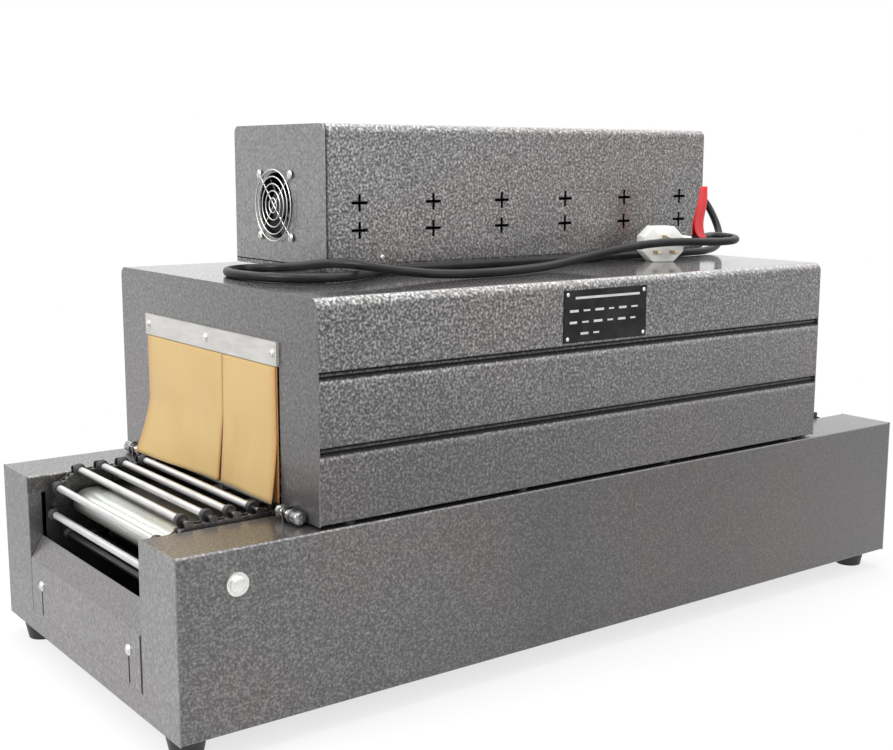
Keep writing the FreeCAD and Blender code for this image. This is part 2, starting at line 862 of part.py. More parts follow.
def drive_line_turn():
    """The angle, in degrees about Y, from the X axis to the line from drive shaft to motor."""
    return math.degrees(math.atan2(motor_drop, motor_x - axis_x))


def drive_chain():
    start = V(axis_x, 0, axis_z)
    return roller_chain(drive_links, drive_pitches, start, drive_line_turn(), drive_plane)


# Hood: shell, end plates, liner, insulation and heaters

def groove(side, height):
    """Points of one pressed groove on the side at y = side, from below upwards."""
    y = side * hood_half
    y_in = side * (hood_half - groove_depth)
    half = groove_width / 2.0
    flat = groove_floor / 2.0
    return [(y, height - half, groove_bend), (y_in, height - flat, groove_bend),
            (y_in, height + flat, groove_bend), (y, height + half, groove_bend)]


def hood_shell():
    """The outer shell: one sheet from flange to flange, with two grooves pressed in each side."""
    levels = [hood_bottom + hood_height * k / 3.0 for k in (1, 2)]
    front = []
    for level in levels:
        front += groove(-1, level)
    back = []
    for level in reversed(levels):
        back += groove(1, level)[::-1]
    profile = [(-hood_half + hood_flange, hood_bottom, 0), (-hood_half, hood_bottom, base_bend)]
    profile += front
    profile += [(-hood_half, hood_top, hood_corner), (hood_half, hood_top, hood_corner)]
    profile += back
    profile += [(hood_half, hood_bottom, base_bend), (hood_half - hood_flange, hood_bottom, 0)]
    start = hood_start + end_plate
    return bent_sheet(profile, hood_sheet, -1, lambda a, b: V(start, a, b),
                      V(hood_length - 2.0 * end_plate, 0, 0))


def hood_end_plate():
    """The entry end plate with the tunnel opening, whose cut-out leaves three tabs that are
    folded inwards, one above and one at each side, with a relief between them."""
    x0 = hood_start
    inside = x0 + opening_tab
    half = opening_half_width

    def outside(a, b):
        return V(x0, a, b)

    plate = rounded_plate(-hood_half, hood_half, hood_bottom, hood_top, hood_corner, outside,
                          V(end_plate, 0, 0))
    hole = block(x0 - 1.0, x0 + end_plate + 1.0, -half, half, hood_bottom - 1.0, opening_top)
    side_top = opening_top - tab_relief
    tabs = [block(x0, inside, -half + tab_relief, half - tab_relief, opening_top,
                  opening_top + end_plate),
            block(x0, inside, -half - end_plate, -half, hood_bottom, side_top),
            block(x0, inside, half, half + end_plate, hood_bottom, side_top)]
    return joined([plate.cut(hole)] + tabs)


def chamber_liner():
    """The bright inner channel, standing on the rails with a foot along each side."""
    half = liner_half + liner_sheet
    profile = [
        (-half - liner_foot, base_top + liner_sheet, 0),
        (-half, base_top + liner_sheet, 1.6),
        (-half, liner_top, 3.0),
        (half, liner_top, 3.0),
        (half, base_top + liner_sheet, 1.6),
        (half + liner_foot, base_top + liner_sheet, 0),
    ]
    start = hood_start + liner_end_gap
    return bent_sheet(profile, liner_sheet, -1, lambda a, b: V(start, a, b),
                      V(hood_length - 2.0 * liner_end_gap, 0, 0))


def insulation():
    """The blanket round the liner, an upside-down channel."""
    start = hood_start + liner_end_gap
    length = hood_length - 2.0 * liner_end_gap
    inner = liner_half + liner_sheet + insulation_clearance
    outer = hood_half - hood_sheet - groove_depth - 0.5
    low = base_top + 2.0 * liner_sheet + hood_gap + insulation_clearance
    top = liner_top + insulation_clearance + insulation_top
    whole = block(start, start + length, -outer, outer, low, top)
    hollow = block(start - 1.0, start + length + 1.0, -inner, inner, low - 1.0,
                   liner_top + insulation_clearance)
    return whole.cut(hollow)


def heater_span():
    return hood_start + heater_end_gap, hood_end - heater_end_gap


def heater_tubes(places, z):
    start, end = heater_span()
    return group_of([rod_along("x", heater_radius, start, end, y, z) for y in places])


def upper_heater_level():
    return liner_top - liner_sheet - upper_heater_drop


def lower_heater_level():
    return bed_level() - bed_drop + heater_radius + holder_wall


def heater_holders():
    """Ceramic blocks at both ends of every tube: the upper ones hang from the liner and the
    lower ones stand on the bed sheet."""
    start, end = heater_span()
    holders = []
    rows = [(upper_heater_places, upper_heater_level(), liner_top - liner_sheet),
            (lower_heater_places, lower_heater_level(), bed_level() - bed_drop)]
    half = holder_width / 2.0
    for places, z, seat in rows:
        upper = seat > z
        for y in places:
            for x in (start + bed_slope, end - bed_slope - holder_thickness):
                low = z - heater_radius - 2.0 if upper else seat
                high = seat if upper else z + heater_radius + 2.0
                holder = block(x, x + holder_thickness, y - half, y + half, low, high)
                hole = rod_along("x", heater_radius + fixed_clearance, x - 1.0,
                                 x + holder_thickness + 1.0, y, z)
                holders.append(holder.cut(hole))
    return group_of(holders)


# Curtains, clamp strips, hood spacers and clamp bolts

def clamp_strips():
    strips = []
    for x0 in (hood_start - strip_thickness, hood_end):
        strips.append(block(x0, x0 + strip_thickness, -opening_half_width, opening_half_width,
                            strip_bottom, strip_bottom + strip_height))
    return group_of(strips)


def flap(y0, y1, layer, at_exit):
    """One flap of cloth; layer 0 hangs against the end plate and layer 1 in front of it."""
    high = strip_bottom - flap_drop
    low = rod_top + curtain_floor_clearance
    near = layer * (cloth_thickness + cloth_gap)
    far = near + cloth_thickness
    if at_exit:
        return block(hood_end + near, hood_end + far, y0, y1, low, high)
    return block(hood_start - far, hood_start - near, y0, y1, low, high)


def curtain_flaps():
    """Three flaps at each end: two in front, parted at the slit, and one whole one behind."""
    half = opening_half_width - cloth_side_clearance
    flaps = {}
    for end in ("entry", "exit"):
        at_exit = end == "exit"
        flaps[end + "_flap_wide"] = flap(-curtain_slit + slit_gap / 2.0, half, 1, at_exit)
        flaps[end + "_flap_narrow"] = flap(-half, -curtain_slit - slit_gap / 2.0, 1, at_exit)
        flaps[end + "_flap_rear"] = flap(-half, half, 0, at_exit)
    return flaps


def hood_clamp_bolts():
    """Bolts that lie across the rails beside the hood's ends, each in a lug on the rail."""
    z = base_top + clamp_bolt_radius + 0.2
    bolts = []
    for x in (hood_start - clamp_bolt_radius - 0.6, hood_end + clamp_bolt_radius + 0.6):
        for side in (-1, 1):
            y0, y1 = sorted((side * clamp_bolt_inner, side * clamp_bolt_outer))
            bolt = rod_along("y", clamp_bolt_radius, y0, y1, x, z)
            middle = side * (clamp_bolt_outer - clamp_lug_inset)
            m0, m1 = sorted((middle, middle - side * clamp_lug))
            width = min(clamp_lug_width, 2.0 * (clamp_bolt_radius + 0.5))
            lug = block(x - width / 2.0, x + width / 2.0, m0, m1, base_top,
                        z + clamp_bolt_radius + 2.0)
            bolts.append(joined([bolt, lug]))
    return group_of(bolts)


def hood_spacers():
    spacers = []
    pitch = (hood_length - 2.0 * spacer_end_inset) / (spacers_a_side - 1)
    for k in range(spacers_a_side):
        x = hood_start + spacer_end_inset + k * pitch
        for side in (-1, 1):
            spacers.append(rod_along("z", spacer_radius, base_top, hood_bottom, x,
                                     side * (hood_half - spacer_inset)))
    return group_of(spacers)


# Control box, its fan and its controls

def cross_slot(x, z):
    w = slot_width / 2.0
    y0 = box_front - 1.0
    y1 = box_front + box_sheet + 1.0
    level = block(x - slot_arm_x / 2.0, x + slot_arm_x / 2.0, y0, y1, z - w, z + w)
    upright = block(x - w, x + w, y0, y1, z - slot_arm_z / 2.0, z + slot_arm_z / 2.0)
    return level.fuse(upright)


def control_box_shell():
    """The control box cover: front, top and back in one sheet, with cross-shaped vents in the
    front and holes for the controls in the back."""
    profile = [
        (box_front + box_flange, box_bottom, 0),
        (box_front, box_bottom, base_bend),
        (box_front, box_top, box_corner),
        (box_back, box_top, box_corner),
        (box_back, box_bottom, base_bend),
        (box_back - box_flange, box_bottom, 0),
    ]
    start = box_start + box_sheet
    shell = bent_sheet(profile, box_sheet, -1, lambda a, b: V(start, a, b),
                       V(box_length - 2.0 * box_sheet, 0, 0))
    cutters = []
    for column in range(slot_columns):
        x = box_middle_x + (column - (slot_columns - 1) / 2.0) * slot_pitch
        for row in slot_rows:
            cutters.append(cross_slot(x, box_bottom + row))
    z = box_bottom + control_line
    y0 = box_back - box_sheet - 1.0
    y1 = box_back + 1.0
    for x in knob_places.values():
        cutters.append(rod_along("y", knob_spindle + running_clearance, y0, y1, x, z))
    cutters.append(block(rocker_x - rocker_width / 2.0 - rocker_wall,
                         rocker_x + rocker_width / 2.0 + rocker_wall, y0, y1,
                         z - rocker_height / 2.0 - rocker_wall,
                         z + rocker_height / 2.0 + rocker_wall))
    return shell.cut(cutters)


def control_floor():
    """The floor of the control box, with four feet that stand on the hood."""
    level = box_bottom + box_sheet
    edge = box_sheet + 1.6
    floor = block(box_start + box_sheet, box_end - box_sheet, box_front + edge, box_back - edge,
                  level, level + box_sheet)
    feet = []
    for x in (box_start + floor_foot_inset_x, box_end - floor_foot_inset_x):
        for y in (box_front + floor_foot_inset_y, box_back - floor_foot_inset_y):
            feet.append(rod_along("z", floor_foot_radius, hood_top, level, x, y))
    return group_of([floor] + feet)


def box_end_plate(x0):
    def place(a, b):
        return V(x0, a, b)

    return rounded_plate(box_front, box_back, box_bottom, box_top, box_corner, place,
                         V(box_sheet, 0, 0))


def control_end_fan():
    plate = box_end_plate(box_start)
    duct = rod_along("x", fan_duct_radius, box_start - 1.0, box_start + box_sheet + 1.0, fan_y,
                     fan_z)
    half = fan_hole_pitch / 2.0
    holes = [rod_along("x", fan_screw_radius, box_start - 1.0, box_start + box_sheet + 1.0,
                       fan_y + a * half, fan_z + b * half) for a in (-1, 1) for b in (-1, 1)]
    return plate.cut([duct] + holes)


def control_end_cable():
    plate = box_end_plate(box_end - box_sheet)
    hole = rod_along("x", gland_body_radius - 1.0, box_end - box_sheet - 1.0, box_end + 1.0,
                     gland_y, hood_top + gland_height)
    return plate.cut(hole)


def fan_frame():
    """The fan's square frame with a round duct, and its motor seat on four arms."""
    x0 = box_start + box_sheet
    x1 = x0 + fan_depth
    half = fan_size / 2.0
    frame = block(x0, x1, fan_y - half, fan_y + half, fan_z - half, fan_z + half)
    frame = frame.cut(rod_along("x", fan_duct_radius, x0 - 1.0, x1 + 1.0, fan_y, fan_z))
    pitch = fan_hole_pitch / 2.0
    holes = [rod_along("x", fan_screw_radius, x0 - 1.0, x1 + 1.0, fan_y + a * pitch,
                       fan_z + b * pitch) for a in (-1, 1) for b in (-1, 1)]
    frame = frame.cut(holes)
    parts = [frame]
    arm_x = x1 - fan_arm_thickness
    for angle in (0, 90):
        arm = block(arm_x, x1, fan_y - fan_duct_radius - 0.5, fan_y + fan_duct_radius + 0.5,
                    fan_z - fan_arm_width / 2.0, fan_z + fan_arm_width / 2.0)
        arm.rotate(V(arm_x, fan_y, fan_z), V(1, 0, 0), angle + 45)
        parts.append(arm)
    parts.append(rod_along("x", fan_hub_radius, arm_x, x1, fan_y, fan_z))
    parts.append(rod_along("x", fan_pin_radius, x0 + 4.0, arm_x + 0.5, fan_y, fan_z))
    return joined(parts)


def fan_impeller():
    """A hub with blades lofted from a steep root to a flatter tip."""
    x0 = box_start + box_sheet + 2.0
    x1 = box_start + box_sheet + fan_depth - fan_arm_thickness - 0.6
    hub = rod_along("x", fan_hub_radius, x0, x1, fan_y, fan_z)
    bore = rod_along("x", fan_pin_radius + running_clearance, x0 + 2.0, x1 + 1.0, fan_y, fan_z)
    middle = (x0 + x1) / 2.0
    tip = fan_duct_radius - fan_blade_clearance
    blade_depth = x1 - x0 - 2.0

    def section(radius, degrees):
        """A blade section across the radius, set at an angle to the fan's plane."""
        a = math.radians(degrees)
        chord = blade_depth / math.sin(a)
        along = V(math.sin(a), math.cos(a), 0)
        thick = V(math.cos(a), -math.sin(a), 0) * (fan_blade_thickness / 2.0)
        centre = V(middle, fan_y, fan_z + radius)
        ends = [along * (chord / 2.0), along * (-chord / 2.0)]
        corners = [centre + ends[0] + thick, centre + ends[1] + thick, centre + ends[1] - thick,
                   centre + ends[0] - thick]
        return Part.makePolygon(corners + corners[:1])

    blade = Part.makeLoft([section(fan_hub_radius - 2.0, fan_blade_pitch + 14.0),
                           section(tip - 0.8, fan_blade_pitch)], True, True)
    limit = rod_along("x", tip, x0, x1, fan_y, fan_z)
    blade = blade.common(limit)
    parts = [hub]
    for k in range(fan_blades):
        copy = blade.copy()
        copy.rotate(V(middle, fan_y, fan_z), V(1, 0, 0), 360.0 * k / fan_blades)
        parts.append(copy)
    return joined(parts).cut(bore)


def fan_guard():
    """A wire guard: rings on four spokes that end in eyes under the fan's screws."""
    x1 = box_start
    x0 = x1 - guard_wire
    parts = []
    for radius in guard_rings:
        ring = rod_along("x", radius + guard_wire / 2.0, x0 - guard_wire + 0.3, x0 + 0.3, fan_y,
                         fan_z)
        parts.append(ring.cut(rod_along("x", radius - guard_wire / 2.0, x0 - guard_wire - 1.0,
                                        x0 + 1.0, fan_y, fan_z)))
    corner = fan_hole_pitch / math.sqrt(2.0)
    for angle in (45, 135):
        spoke = block(x0, x1, fan_y - corner, fan_y + corner, fan_z - guard_wire / 2.0,
                      fan_z + guard_wire / 2.0)
        spoke.rotate(V(x0, fan_y, fan_z), V(1, 0, 0), angle)
        parts.append(spoke)
    half = fan_hole_pitch / 2.0
    holes = []
    for a in (-1, 1):
        for b in (-1, 1):
            y = fan_y + a * half
            z = fan_z + b * half
            parts.append(rod_along("x", guard_eye_radius, x0, x1, y, z))
            holes.append(rod_along("x", fan_screw_radius, x0 - 1.0, x1 + 1.0, y, z))
    return joined(parts).cut(holes)


def power_rocker():
    """The rocker: two faces that meet in a shallow angle over a pin, resting in its off
    position, with the upper end out."""
    z = box_bottom + control_line
    half = rocker_height / 2.0 - 2.0 * rocker_clearance
    width = rocker_width / 2.0 - rocker_clearance
    pivot_y = box_back - rocker_depth / 2.0
    face = rocker_depth / 2.0 + rocker_proud
    outline = [(face - 1.8, 0.0), (face, half - 1.6), (2.0, half - 3.0), (-3.0, 3.0), (-3.0, -3.0),
               (2.0, 3.0 - half), (face, 1.6 - half)]
    start = rocker_x - width
    body = prism(outline, lambda a, b: V(start, pivot_y + a, z + b), V(2.0 * width, 0, 0))
    reach = width + rocker_clearance + rocker_wall / 2.0
    pin = rod_along("x", rocker_pin_radius, rocker_x - reach, rocker_x + reach, pivot_y, z)
    rocker = joined([body, pin])
    rocker.rotate(V(rocker_x, pivot_y, z), V(1, 0, 0), -rocker_tilt)
    return rocker


def control_knob(x):
    z = box_bottom + control_line
    y = box_back + knob_gap
    profile = [
        (0.0, 0.0),
        (knob_skirt, 0.0),
        (knob_skirt, knob_skirt_height - 1.0),
        (knob_radius, knob_skirt_height),
        (knob_radius - 1.5, knob_length - 1.0),
        (knob_radius - 2.5, knob_length),
        (0.0, knob_length),
    ]
    head = turned(profile, V(x, y, z), V(0, 1, 0))
    mark = block(x - 0.8, x + 0.8, y + knob_length - 1.0, y + knob_length + 1.0, z + 3.0,
                 z + knob_radius - 2.5)
    spindle = rod_along("y", knob_spindle, box_back - box_sheet - 6.0, y + 1.0, x, z)
    return joined([head, spindle]).cut(mark)


def power_controls():
    """What the control box holds: contactor, regulator, the switch housing behind the rocker
    and the two potentiometers behind the knobs."""
    z = box_bottom + control_line
    floor = box_bottom + 2.0 * box_sheet
    parts = []
    for x, size in ((contactor_x, contactor_size), (regulator_x, regulator_size)):
        parts.append(block(x - size[0] / 2.0, x + size[0] / 2.0, device_y - size[1] / 2.0,
                           device_y + size[1] / 2.0, floor, floor + size[2]))
    for x in knob_places.values():
        body = rod_along("y", potentiometer_radius, box_back - box_sheet - potentiometer_length,
                         box_back - box_sheet, x, z)
        hole = rod_along("y", knob_spindle + running_clearance, box_back - box_sheet - 7.0,
                         box_back, x, z)
        parts.append(body.cut(hole))
    w = rocker_width / 2.0
    h = rocker_height / 2.0
    t = rocker_wall
    back = box_back - rocker_depth
    housing = block(rocker_x - w - t, rocker_x + w + t, back, box_back, z - h - t, z + h + t)
    rim = block(rocker_x - w - 2.0 * t, rocker_x + w + 2.0 * t, box_back, box_back + rocker_rim,
                z - h - 2.0 * t, z + h + 2.0 * t)
    well = block(rocker_x - w, rocker_x + w, back + t, box_back + 2.0 * rocker_rim, z - h, z + h)
    pin_end = w + t / 2.0 + running_clearance
    pivot = rod_along("x", rocker_pin_radius + running_clearance, rocker_x - pin_end,
                      rocker_x + pin_end, box_back - rocker_depth / 2.0, z)
    parts.append(joined([housing, rim]).cut([well, pivot]))
    return group_of(parts)


def nameplate():
    high = hood_top - plate_below_top
    return block(plate_x - plate_width / 2.0, plate_x + plate_width / 2.0,
                 -hood_half - plate_thickness, -hood_half, high - plate_height, high)


# Mains cord with its gland, plug and tag

def cable_gland():
    """A hexagon outside the end plate, a tapered sleeve for the cord and a nut inside."""
    z = hood_top + gland_height
    centre = V(box_end, gland_y, z)
    hexagon = [centre + V(0, gland_nut_radius * math.cos(k * math.pi / 3.0),
                          gland_nut_radius * math.sin(k * math.pi / 3.0)) for k in range(6)]
    nut = Part.Face(Part.makePolygon(hexagon + hexagon[:1])).extrude(V(gland_nut_length, 0, 0))
    inner_nut = nut.copy()
    inner_nut.translate(V(-box_sheet - gland_nut_length, 0, 0))
    neck = rod_along("x", gland_body_radius - 1.0 - running_clearance, box_end - box_sheet,
                     box_end, gland_y, z)
    sleeve = Part.makeCone(gland_body_radius, gland_tip_radius, gland_length - gland_nut_length,
                           centre + V(gland_nut_length, 0, 0), V(1, 0, 0))
    return joined([nut, inner_nut, neck, sleeve])


# The route of the cord: x and y in the frame, and the height of its middle over the hood. It
# leaves the gland, runs to the entry end behind, turns back over itself and ends in the plug.
cord_route = [
    (box_end + gland_length, gland_y, gland_height),
    (405.0, 48.0, 88.0),
    (421.0, 42.0, 83.0),
    (430.0, 30.0, 70.0),
    (431.0, 15.0, 50.0),
    (426.0, -1.0, 30.0),
    (412.0, -16.0, 15.0),
    (389.0, -29.0, 8.0),
    (359.0, -39.0, cord_lie),
    (322.0, -44.0, cord_lie),
    (272.0, -45.0, cord_lie),
    (215.0, -42.0, cord_lie),
    (158.0, -46.0, cord_lie),
    (102.0, -43.0, cord_lie),
    (46.0, -46.5, cord_lie),
    (-10.0, -43.0, cord_lie),
    (-64.0, -45.5, cord_lie),
    (-114.0, -43.5, cord_lie),
    (-158.0, -49.0, cord_lie),
    (-193.0, -62.0, cord_lie),
    (-224.0, -81.0, cord_lie),
    (-255.0, -97.0, cord_lie),
    (-287.0, -99.0, cord_lie),
    (-315.0, -80.0, cord_lie),
    (-332.0, -50.0, cord_lie),
    (-338.0, -14.0, cord_lie),
    (-337.0, 20.0, cord_lie),
    (-323.0, 49.0, cord_lie),
    (-295.0, 61.0, cord_lie),
    (-270.0, 45.0, cord_lie + 0.8),
    (-260.0, 14.0, 8.5),
    (-257.0, -22.0, 13.5),
    (-253.0, -57.0, 19.3),
    (-240.0, -93.0, 19.5),
    (-213.0, -121.0, 13.0),
    (-175.0, -139.0, 7.0),
    (-130.0, -146.0, cord_lie),
    (-84.0, -144.0, cord_lie),
    (-38.0, -135.0, cord_lie + 0.4),
    (6.0, -122.0, 6.4),
    (50.0, -114.0, 10.5),
    (94.0, -112.0, 16.5),
    (136.0, -115.0, 22.5),
    (176.0, -119.0, 26.0),
    (216.0, -121.5, 26.8),
    (256.0, -125.0, 25.2),
    (294.0, -127.0, 24.2),
    (326.0, -124.0, 25.0),
    (345.0, -110.0, 26.6),
    (341.0, -90.0, 28.5),
    (317.0, -86.0, 29.5),
    (291.0, -99.0, 29.0),
    (268.0, -104.0, 26.5),
]


def cord_path(points):
    """Straight runs joined by arcs; each arc takes 0.45 of the shorter run beside its point."""
    edges = []
    radii = []
    place = points[0]
    for before, here, after in zip(points, points[1:], points[2:]):
        into = here - before
        out = after - here
        take = 0.45 * min(into.Length, out.Length)
        into.normalize()
        out.normalize()
        half = into.getAngle(out) / 2.0
        start = here - into * take
        finish = here + out * take
        radii.append(take / math.tan(half))
        inward = out - into
        inward.normalize()
        radius = radii[-1]
        middle = here + inward * (radius / math.cos(half) - radius)
        edges.append(Part.LineSegment(place, start).toShape())
        edges.append(Part.Arc(start, middle, finish).toShape())
        place = finish
    edges.append(Part.LineSegment(place, points[-1]).toShape())
    return Part.Wire(edges), radii


def plug_side():
    """Where the cord enters the plug."""
    a = math.radians(plug_turn)
    direction = V(math.cos(a), math.sin(a), 0)
    middle = V(plug_centre[0], plug_centre[1], hood_top)
    return middle + direction * (plug_width / 2.0 + plug_boss) + V(0, 0, plug_cord_height)


def power_cord():
    points = [V(x, y, hood_top + z) for x, y, z in cord_route] + [plug_side()]
    path, radii = cord_path(points)
    start = points[0]
    circle = Part.Wire([Part.Circle(start, V(1, 0, 0), cord_radius).toShape()])
    tube = path.makePipeShell([circle], True, False, 0)
    section = math.pi * cord_radius ** 2
    print("cord length", round(path.Length, 1), "volume ratio",
          round(tube.Volume / (section * path.Length), 4))
    print("cord radii", [round(r) for r in radii])
    return tube


def power_plug():
    """A plug with its cord at the side: an octagonal body with a domed back, and three flat
    pins. It lies on the hood with its pins forward and the cord resting on the upper one."""
    w = plug_width / 2.0
    c = plug_chamfer
    h = plug_height
    outline = [(-w + c, 0), (w - c, 0), (w, c), (w, h - c), (w - c, h), (-w + c, h), (-w, h - c),
               (-w, c)]
    face = plug_depth / 2.0
    body = prism(outline, lambda a, b: V(a, -face, b), V(0, plug_depth - plug_dome, 0))
    small = [(a * 0.72, h / 2.0 + (b - h / 2.0) * 0.72) for a, b in outline]
    near = face - plug_dome

    def ring(points, y):
        corners = [V(a, y, b) for a, b in points]
        return Part.makePolygon(corners + corners[:1])

    dome = Part.makeLoft([ring(outline, near), ring(small, face)], True, True)
    boss = rod_along("x", gland_tip_radius, w - 1.0, w + plug_boss, 0, plug_cord_height)
    solids = [joined([body, dome, boss])]
    for x, z, upright in ((-pin_spread / 2.0, pin_height, False),
                          (pin_spread / 2.0, pin_height, False), (0, earth_pin_height, True)):
        a = (pin_thickness if upright else pin_width) / 2.0
        b = (pin_width if upright else pin_thickness) / 2.0
        solids.append(block(x - a, x + a, -face - pin_length, -face, z - b, z + b))
    plug = group_of(solids)
    plug.rotate(V(0, 0, 0), V(0, 0, 1), plug_turn)
    plug.translate(V(plug_centre[0], plug_centre[1], hood_top))
    return plug


def cord_tag():
    """A flag of folded tape: a band round the cord and a strip that stands up from it."""
    before = V(*cord_route[tag_run])
    after = V(*cord_route[tag_run + 1])
    along = before - after
    seat = (before + after) * 0.5 + V(0, 0, hood_top)
    along.normalize()
    half = tag_wrap_width / 2.0
    bore = cord_radius + tag_clearance
    wrap = Part.makeCylinder(bore + tag_wrap, tag_wrap_width, seat - along * half, along)
    heading = math.degrees(math.atan2(along.y, along.x))
    flag = block(-tag_width / 2.0, tag_width / 2.0, -tag_thickness / 2.0, tag_thickness / 2.0,
                 bore, hood_top + tag_top - seat.z)
    flag.rotate(V(0, 0, 0), V(0, 0, 1), heading)
    flag.translate(seat)
    hole = Part.makeCylinder(bore, tag_width + 4.0, seat - along * (tag_width / 2.0 + 2.0), along)
    return wrap.fuse(flag).cut(hole)


def build():
    shaft_bore = shaft_radius + running_clearance
    fixed_bore = shaft_radius + fixed_clearance
    motor_bore = motor_shaft_radius + fixed_clearance
    line_angle = -math.radians(drive_line_turn())
    front_casing = base_casing()
    entry_frame = end_frame()
    entry_apron = apron()
    front_chain = conveyor_chain()
    entry_plate = hood_end_plate()
    parts = {
        "base_casing_front": front_casing,
        "base_casing_back": mirrored_y(front_casing),
        "end_frame_entry": entry_frame,
        "end_frame_exit": mirrored_x(entry_frame),
        "apron_entry": entry_apron,
        "apron_exit": mirrored_x(entry_apron),
        "base_floor": base_floor(),
        "rubber_feet": rubber_feet(),
        "chain_frame_front": chain_frame(),
        "chain_frame_back": back_chain_frame(),
        "cross_bars": cross_bars(),
        "bed_pan": bed_pan(),
        "idler_shaft": idler_shaft(),
        "idler_sprockets": group_of([
            sprocket(conveyor_links, -axis_x, -chain_y, axis_z, shaft_bore, 1),
            sprocket(conveyor_links, -axis_x, chain_y, axis_z, shaft_bore, -1)]),
        "shaft_end_bolts": shaft_end_bolts(),
        "drive_shaft": drive_shaft(),
        "drive_sprockets": group_of([
            sprocket(conveyor_links, axis_x, -chain_y, axis_z, fixed_bore, 1),
            sprocket(conveyor_links, axis_x, chain_y, axis_z, fixed_bore, -1)]),
        "driven_sprocket": sprocket(drive_links, axis_x, drive_plane, axis_z, fixed_bore, -1,
                                    line_angle),
        "flange_bearings": flange_bearings(),
        "gear_motor": gear_motor(),
        "motor_shaft": motor_shaft(),
        "motor_sprocket": sprocket(drive_links, motor_x, drive_plane, motor_z, motor_bore, -1,
                                   line_angle),
        "drive_chain": drive_chain(),
        "conveyor_chain_front": front_chain,
        "conveyor_chain_back": mirrored_y(front_chain),
        "conveyor_rods": conveyor_rods(),
        "hood_shell": hood_shell(),
        "hood_end_entry": entry_plate,
        "hood_end_exit": mirrored_x(entry_plate, hood_shift),
        "chamber_liner": chamber_liner(),
        "insulation": insulation(),
        "upper_heaters": heater_tubes(upper_heater_places, upper_heater_level()),
        "lower_heaters": heater_tubes(lower_heater_places, lower_heater_level()),
        "heater_holders": heater_holders(),
        "clamp_strips": clamp_strips(),
        "hood_clamp_bolts": hood_clamp_bolts(),
        "hood_spacers": hood_spacers(),
        "control_box_shell": control_box_shell(),
        "control_floor": control_floor(),
        "control_end_fan": control_end_fan(),
        "control_end_cable": control_end_cable(),
        "fan_frame": fan_frame(),
        "fan_impeller": fan_impeller(),
        "fan_guard": fan_guard(),
        "power_rocker": power_rocker(),
        "power_controls": power_controls(),
        "nameplate": nameplate(),
        "cable_gland": cable_gland(),
        "power_cord": power_cord(),
        "power_plug": power_plug(),
        "cord_tag": cord_tag(),
    }
    parts.update(curtain_flaps())
    for name, x in knob_places.items():
        parts[name] = control_knob(x)
    return parts


os.makedirs("parts", exist_ok=True)
for name, shape in build().items():
    shape.exportStep("parts/" + name + ".step")
    print(name, len(shape.Solids), "valid" if shape.isValid() else "INVALID",
          round(shape.Volume / 1000.0, 2))
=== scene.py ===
import json
from math import cos, pi, radians, sin, sqrt

import bmesh
import bpy
import numpy as np
from mathutils import Matrix, Vector


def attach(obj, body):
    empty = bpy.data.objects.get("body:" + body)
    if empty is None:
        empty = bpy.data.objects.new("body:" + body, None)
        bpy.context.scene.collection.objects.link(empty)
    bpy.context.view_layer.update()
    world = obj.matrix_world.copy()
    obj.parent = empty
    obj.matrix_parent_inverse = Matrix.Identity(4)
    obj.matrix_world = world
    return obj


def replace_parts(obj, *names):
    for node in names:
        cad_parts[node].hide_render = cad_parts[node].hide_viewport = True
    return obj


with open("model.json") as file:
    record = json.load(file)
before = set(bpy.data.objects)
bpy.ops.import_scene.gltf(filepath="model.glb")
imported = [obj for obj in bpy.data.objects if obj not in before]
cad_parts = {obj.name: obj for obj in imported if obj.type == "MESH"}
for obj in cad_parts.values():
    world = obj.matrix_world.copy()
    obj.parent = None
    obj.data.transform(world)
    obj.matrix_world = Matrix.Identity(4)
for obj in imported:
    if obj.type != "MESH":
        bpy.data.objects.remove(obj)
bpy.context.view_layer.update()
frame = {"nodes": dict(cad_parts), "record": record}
record = frame["record"]

# Sizes shared with the solids, in metres
chain_pitch = 0.0127
sprocket_teeth = 16
straight_links = 73
chain_y = 0.141
axle_x = straight_links * chain_pitch / 2
axle_z = 0.1678
pitch_radius = chain_pitch / (2 * sin(pi / sprocket_teeth))
rod_lift = 0.0074
rod_radius = 0.004
base_end, base_top = 0.525, 0.202
hood_start, hood_end = -0.373, 0.365
hood_side, hood_top = -0.227, 0.425
box_start, box_end = -0.243, 0.357
box_front, box_back = -0.031, 0.177
box_bottom = 0.434
vent_middle, vent_pitch, vent_rows = 0.057, 0.102, (0.071, 0.0403)
fan_y, fan_z, fan_hole = 0.0775, 0.5, 0.0715 / 2
gland_y, gland_rise = 0.048, 0.088
control_line = 0.096
knob_x = {"temperature_dial": -0.04, "speed_dial": 0.07}
strip_bottom, strip_height = 0.352, 0.024
curtain_top, curtain_length = 0.35108, 0.13845
plate_left, plate_top = -0.064, 0.4145
plate_face = hood_side - 0.001

# The camera fitted to the photo: heading, height and roll in degrees, focal length in pixels
camera_turn = (-36.58, 9.33, 0.11)
camera_place = (-1.0022, -1.2781, 0.5538)
focal_length, photo_width, sensor_width = 1316.35, 893, 36


def placed(name, data):
    """An object of this data, linked to the scene."""
    made = bpy.data.objects.new(name, data)
    bpy.context.scene.collection.objects.link(made)
    return made


# Camera and cord

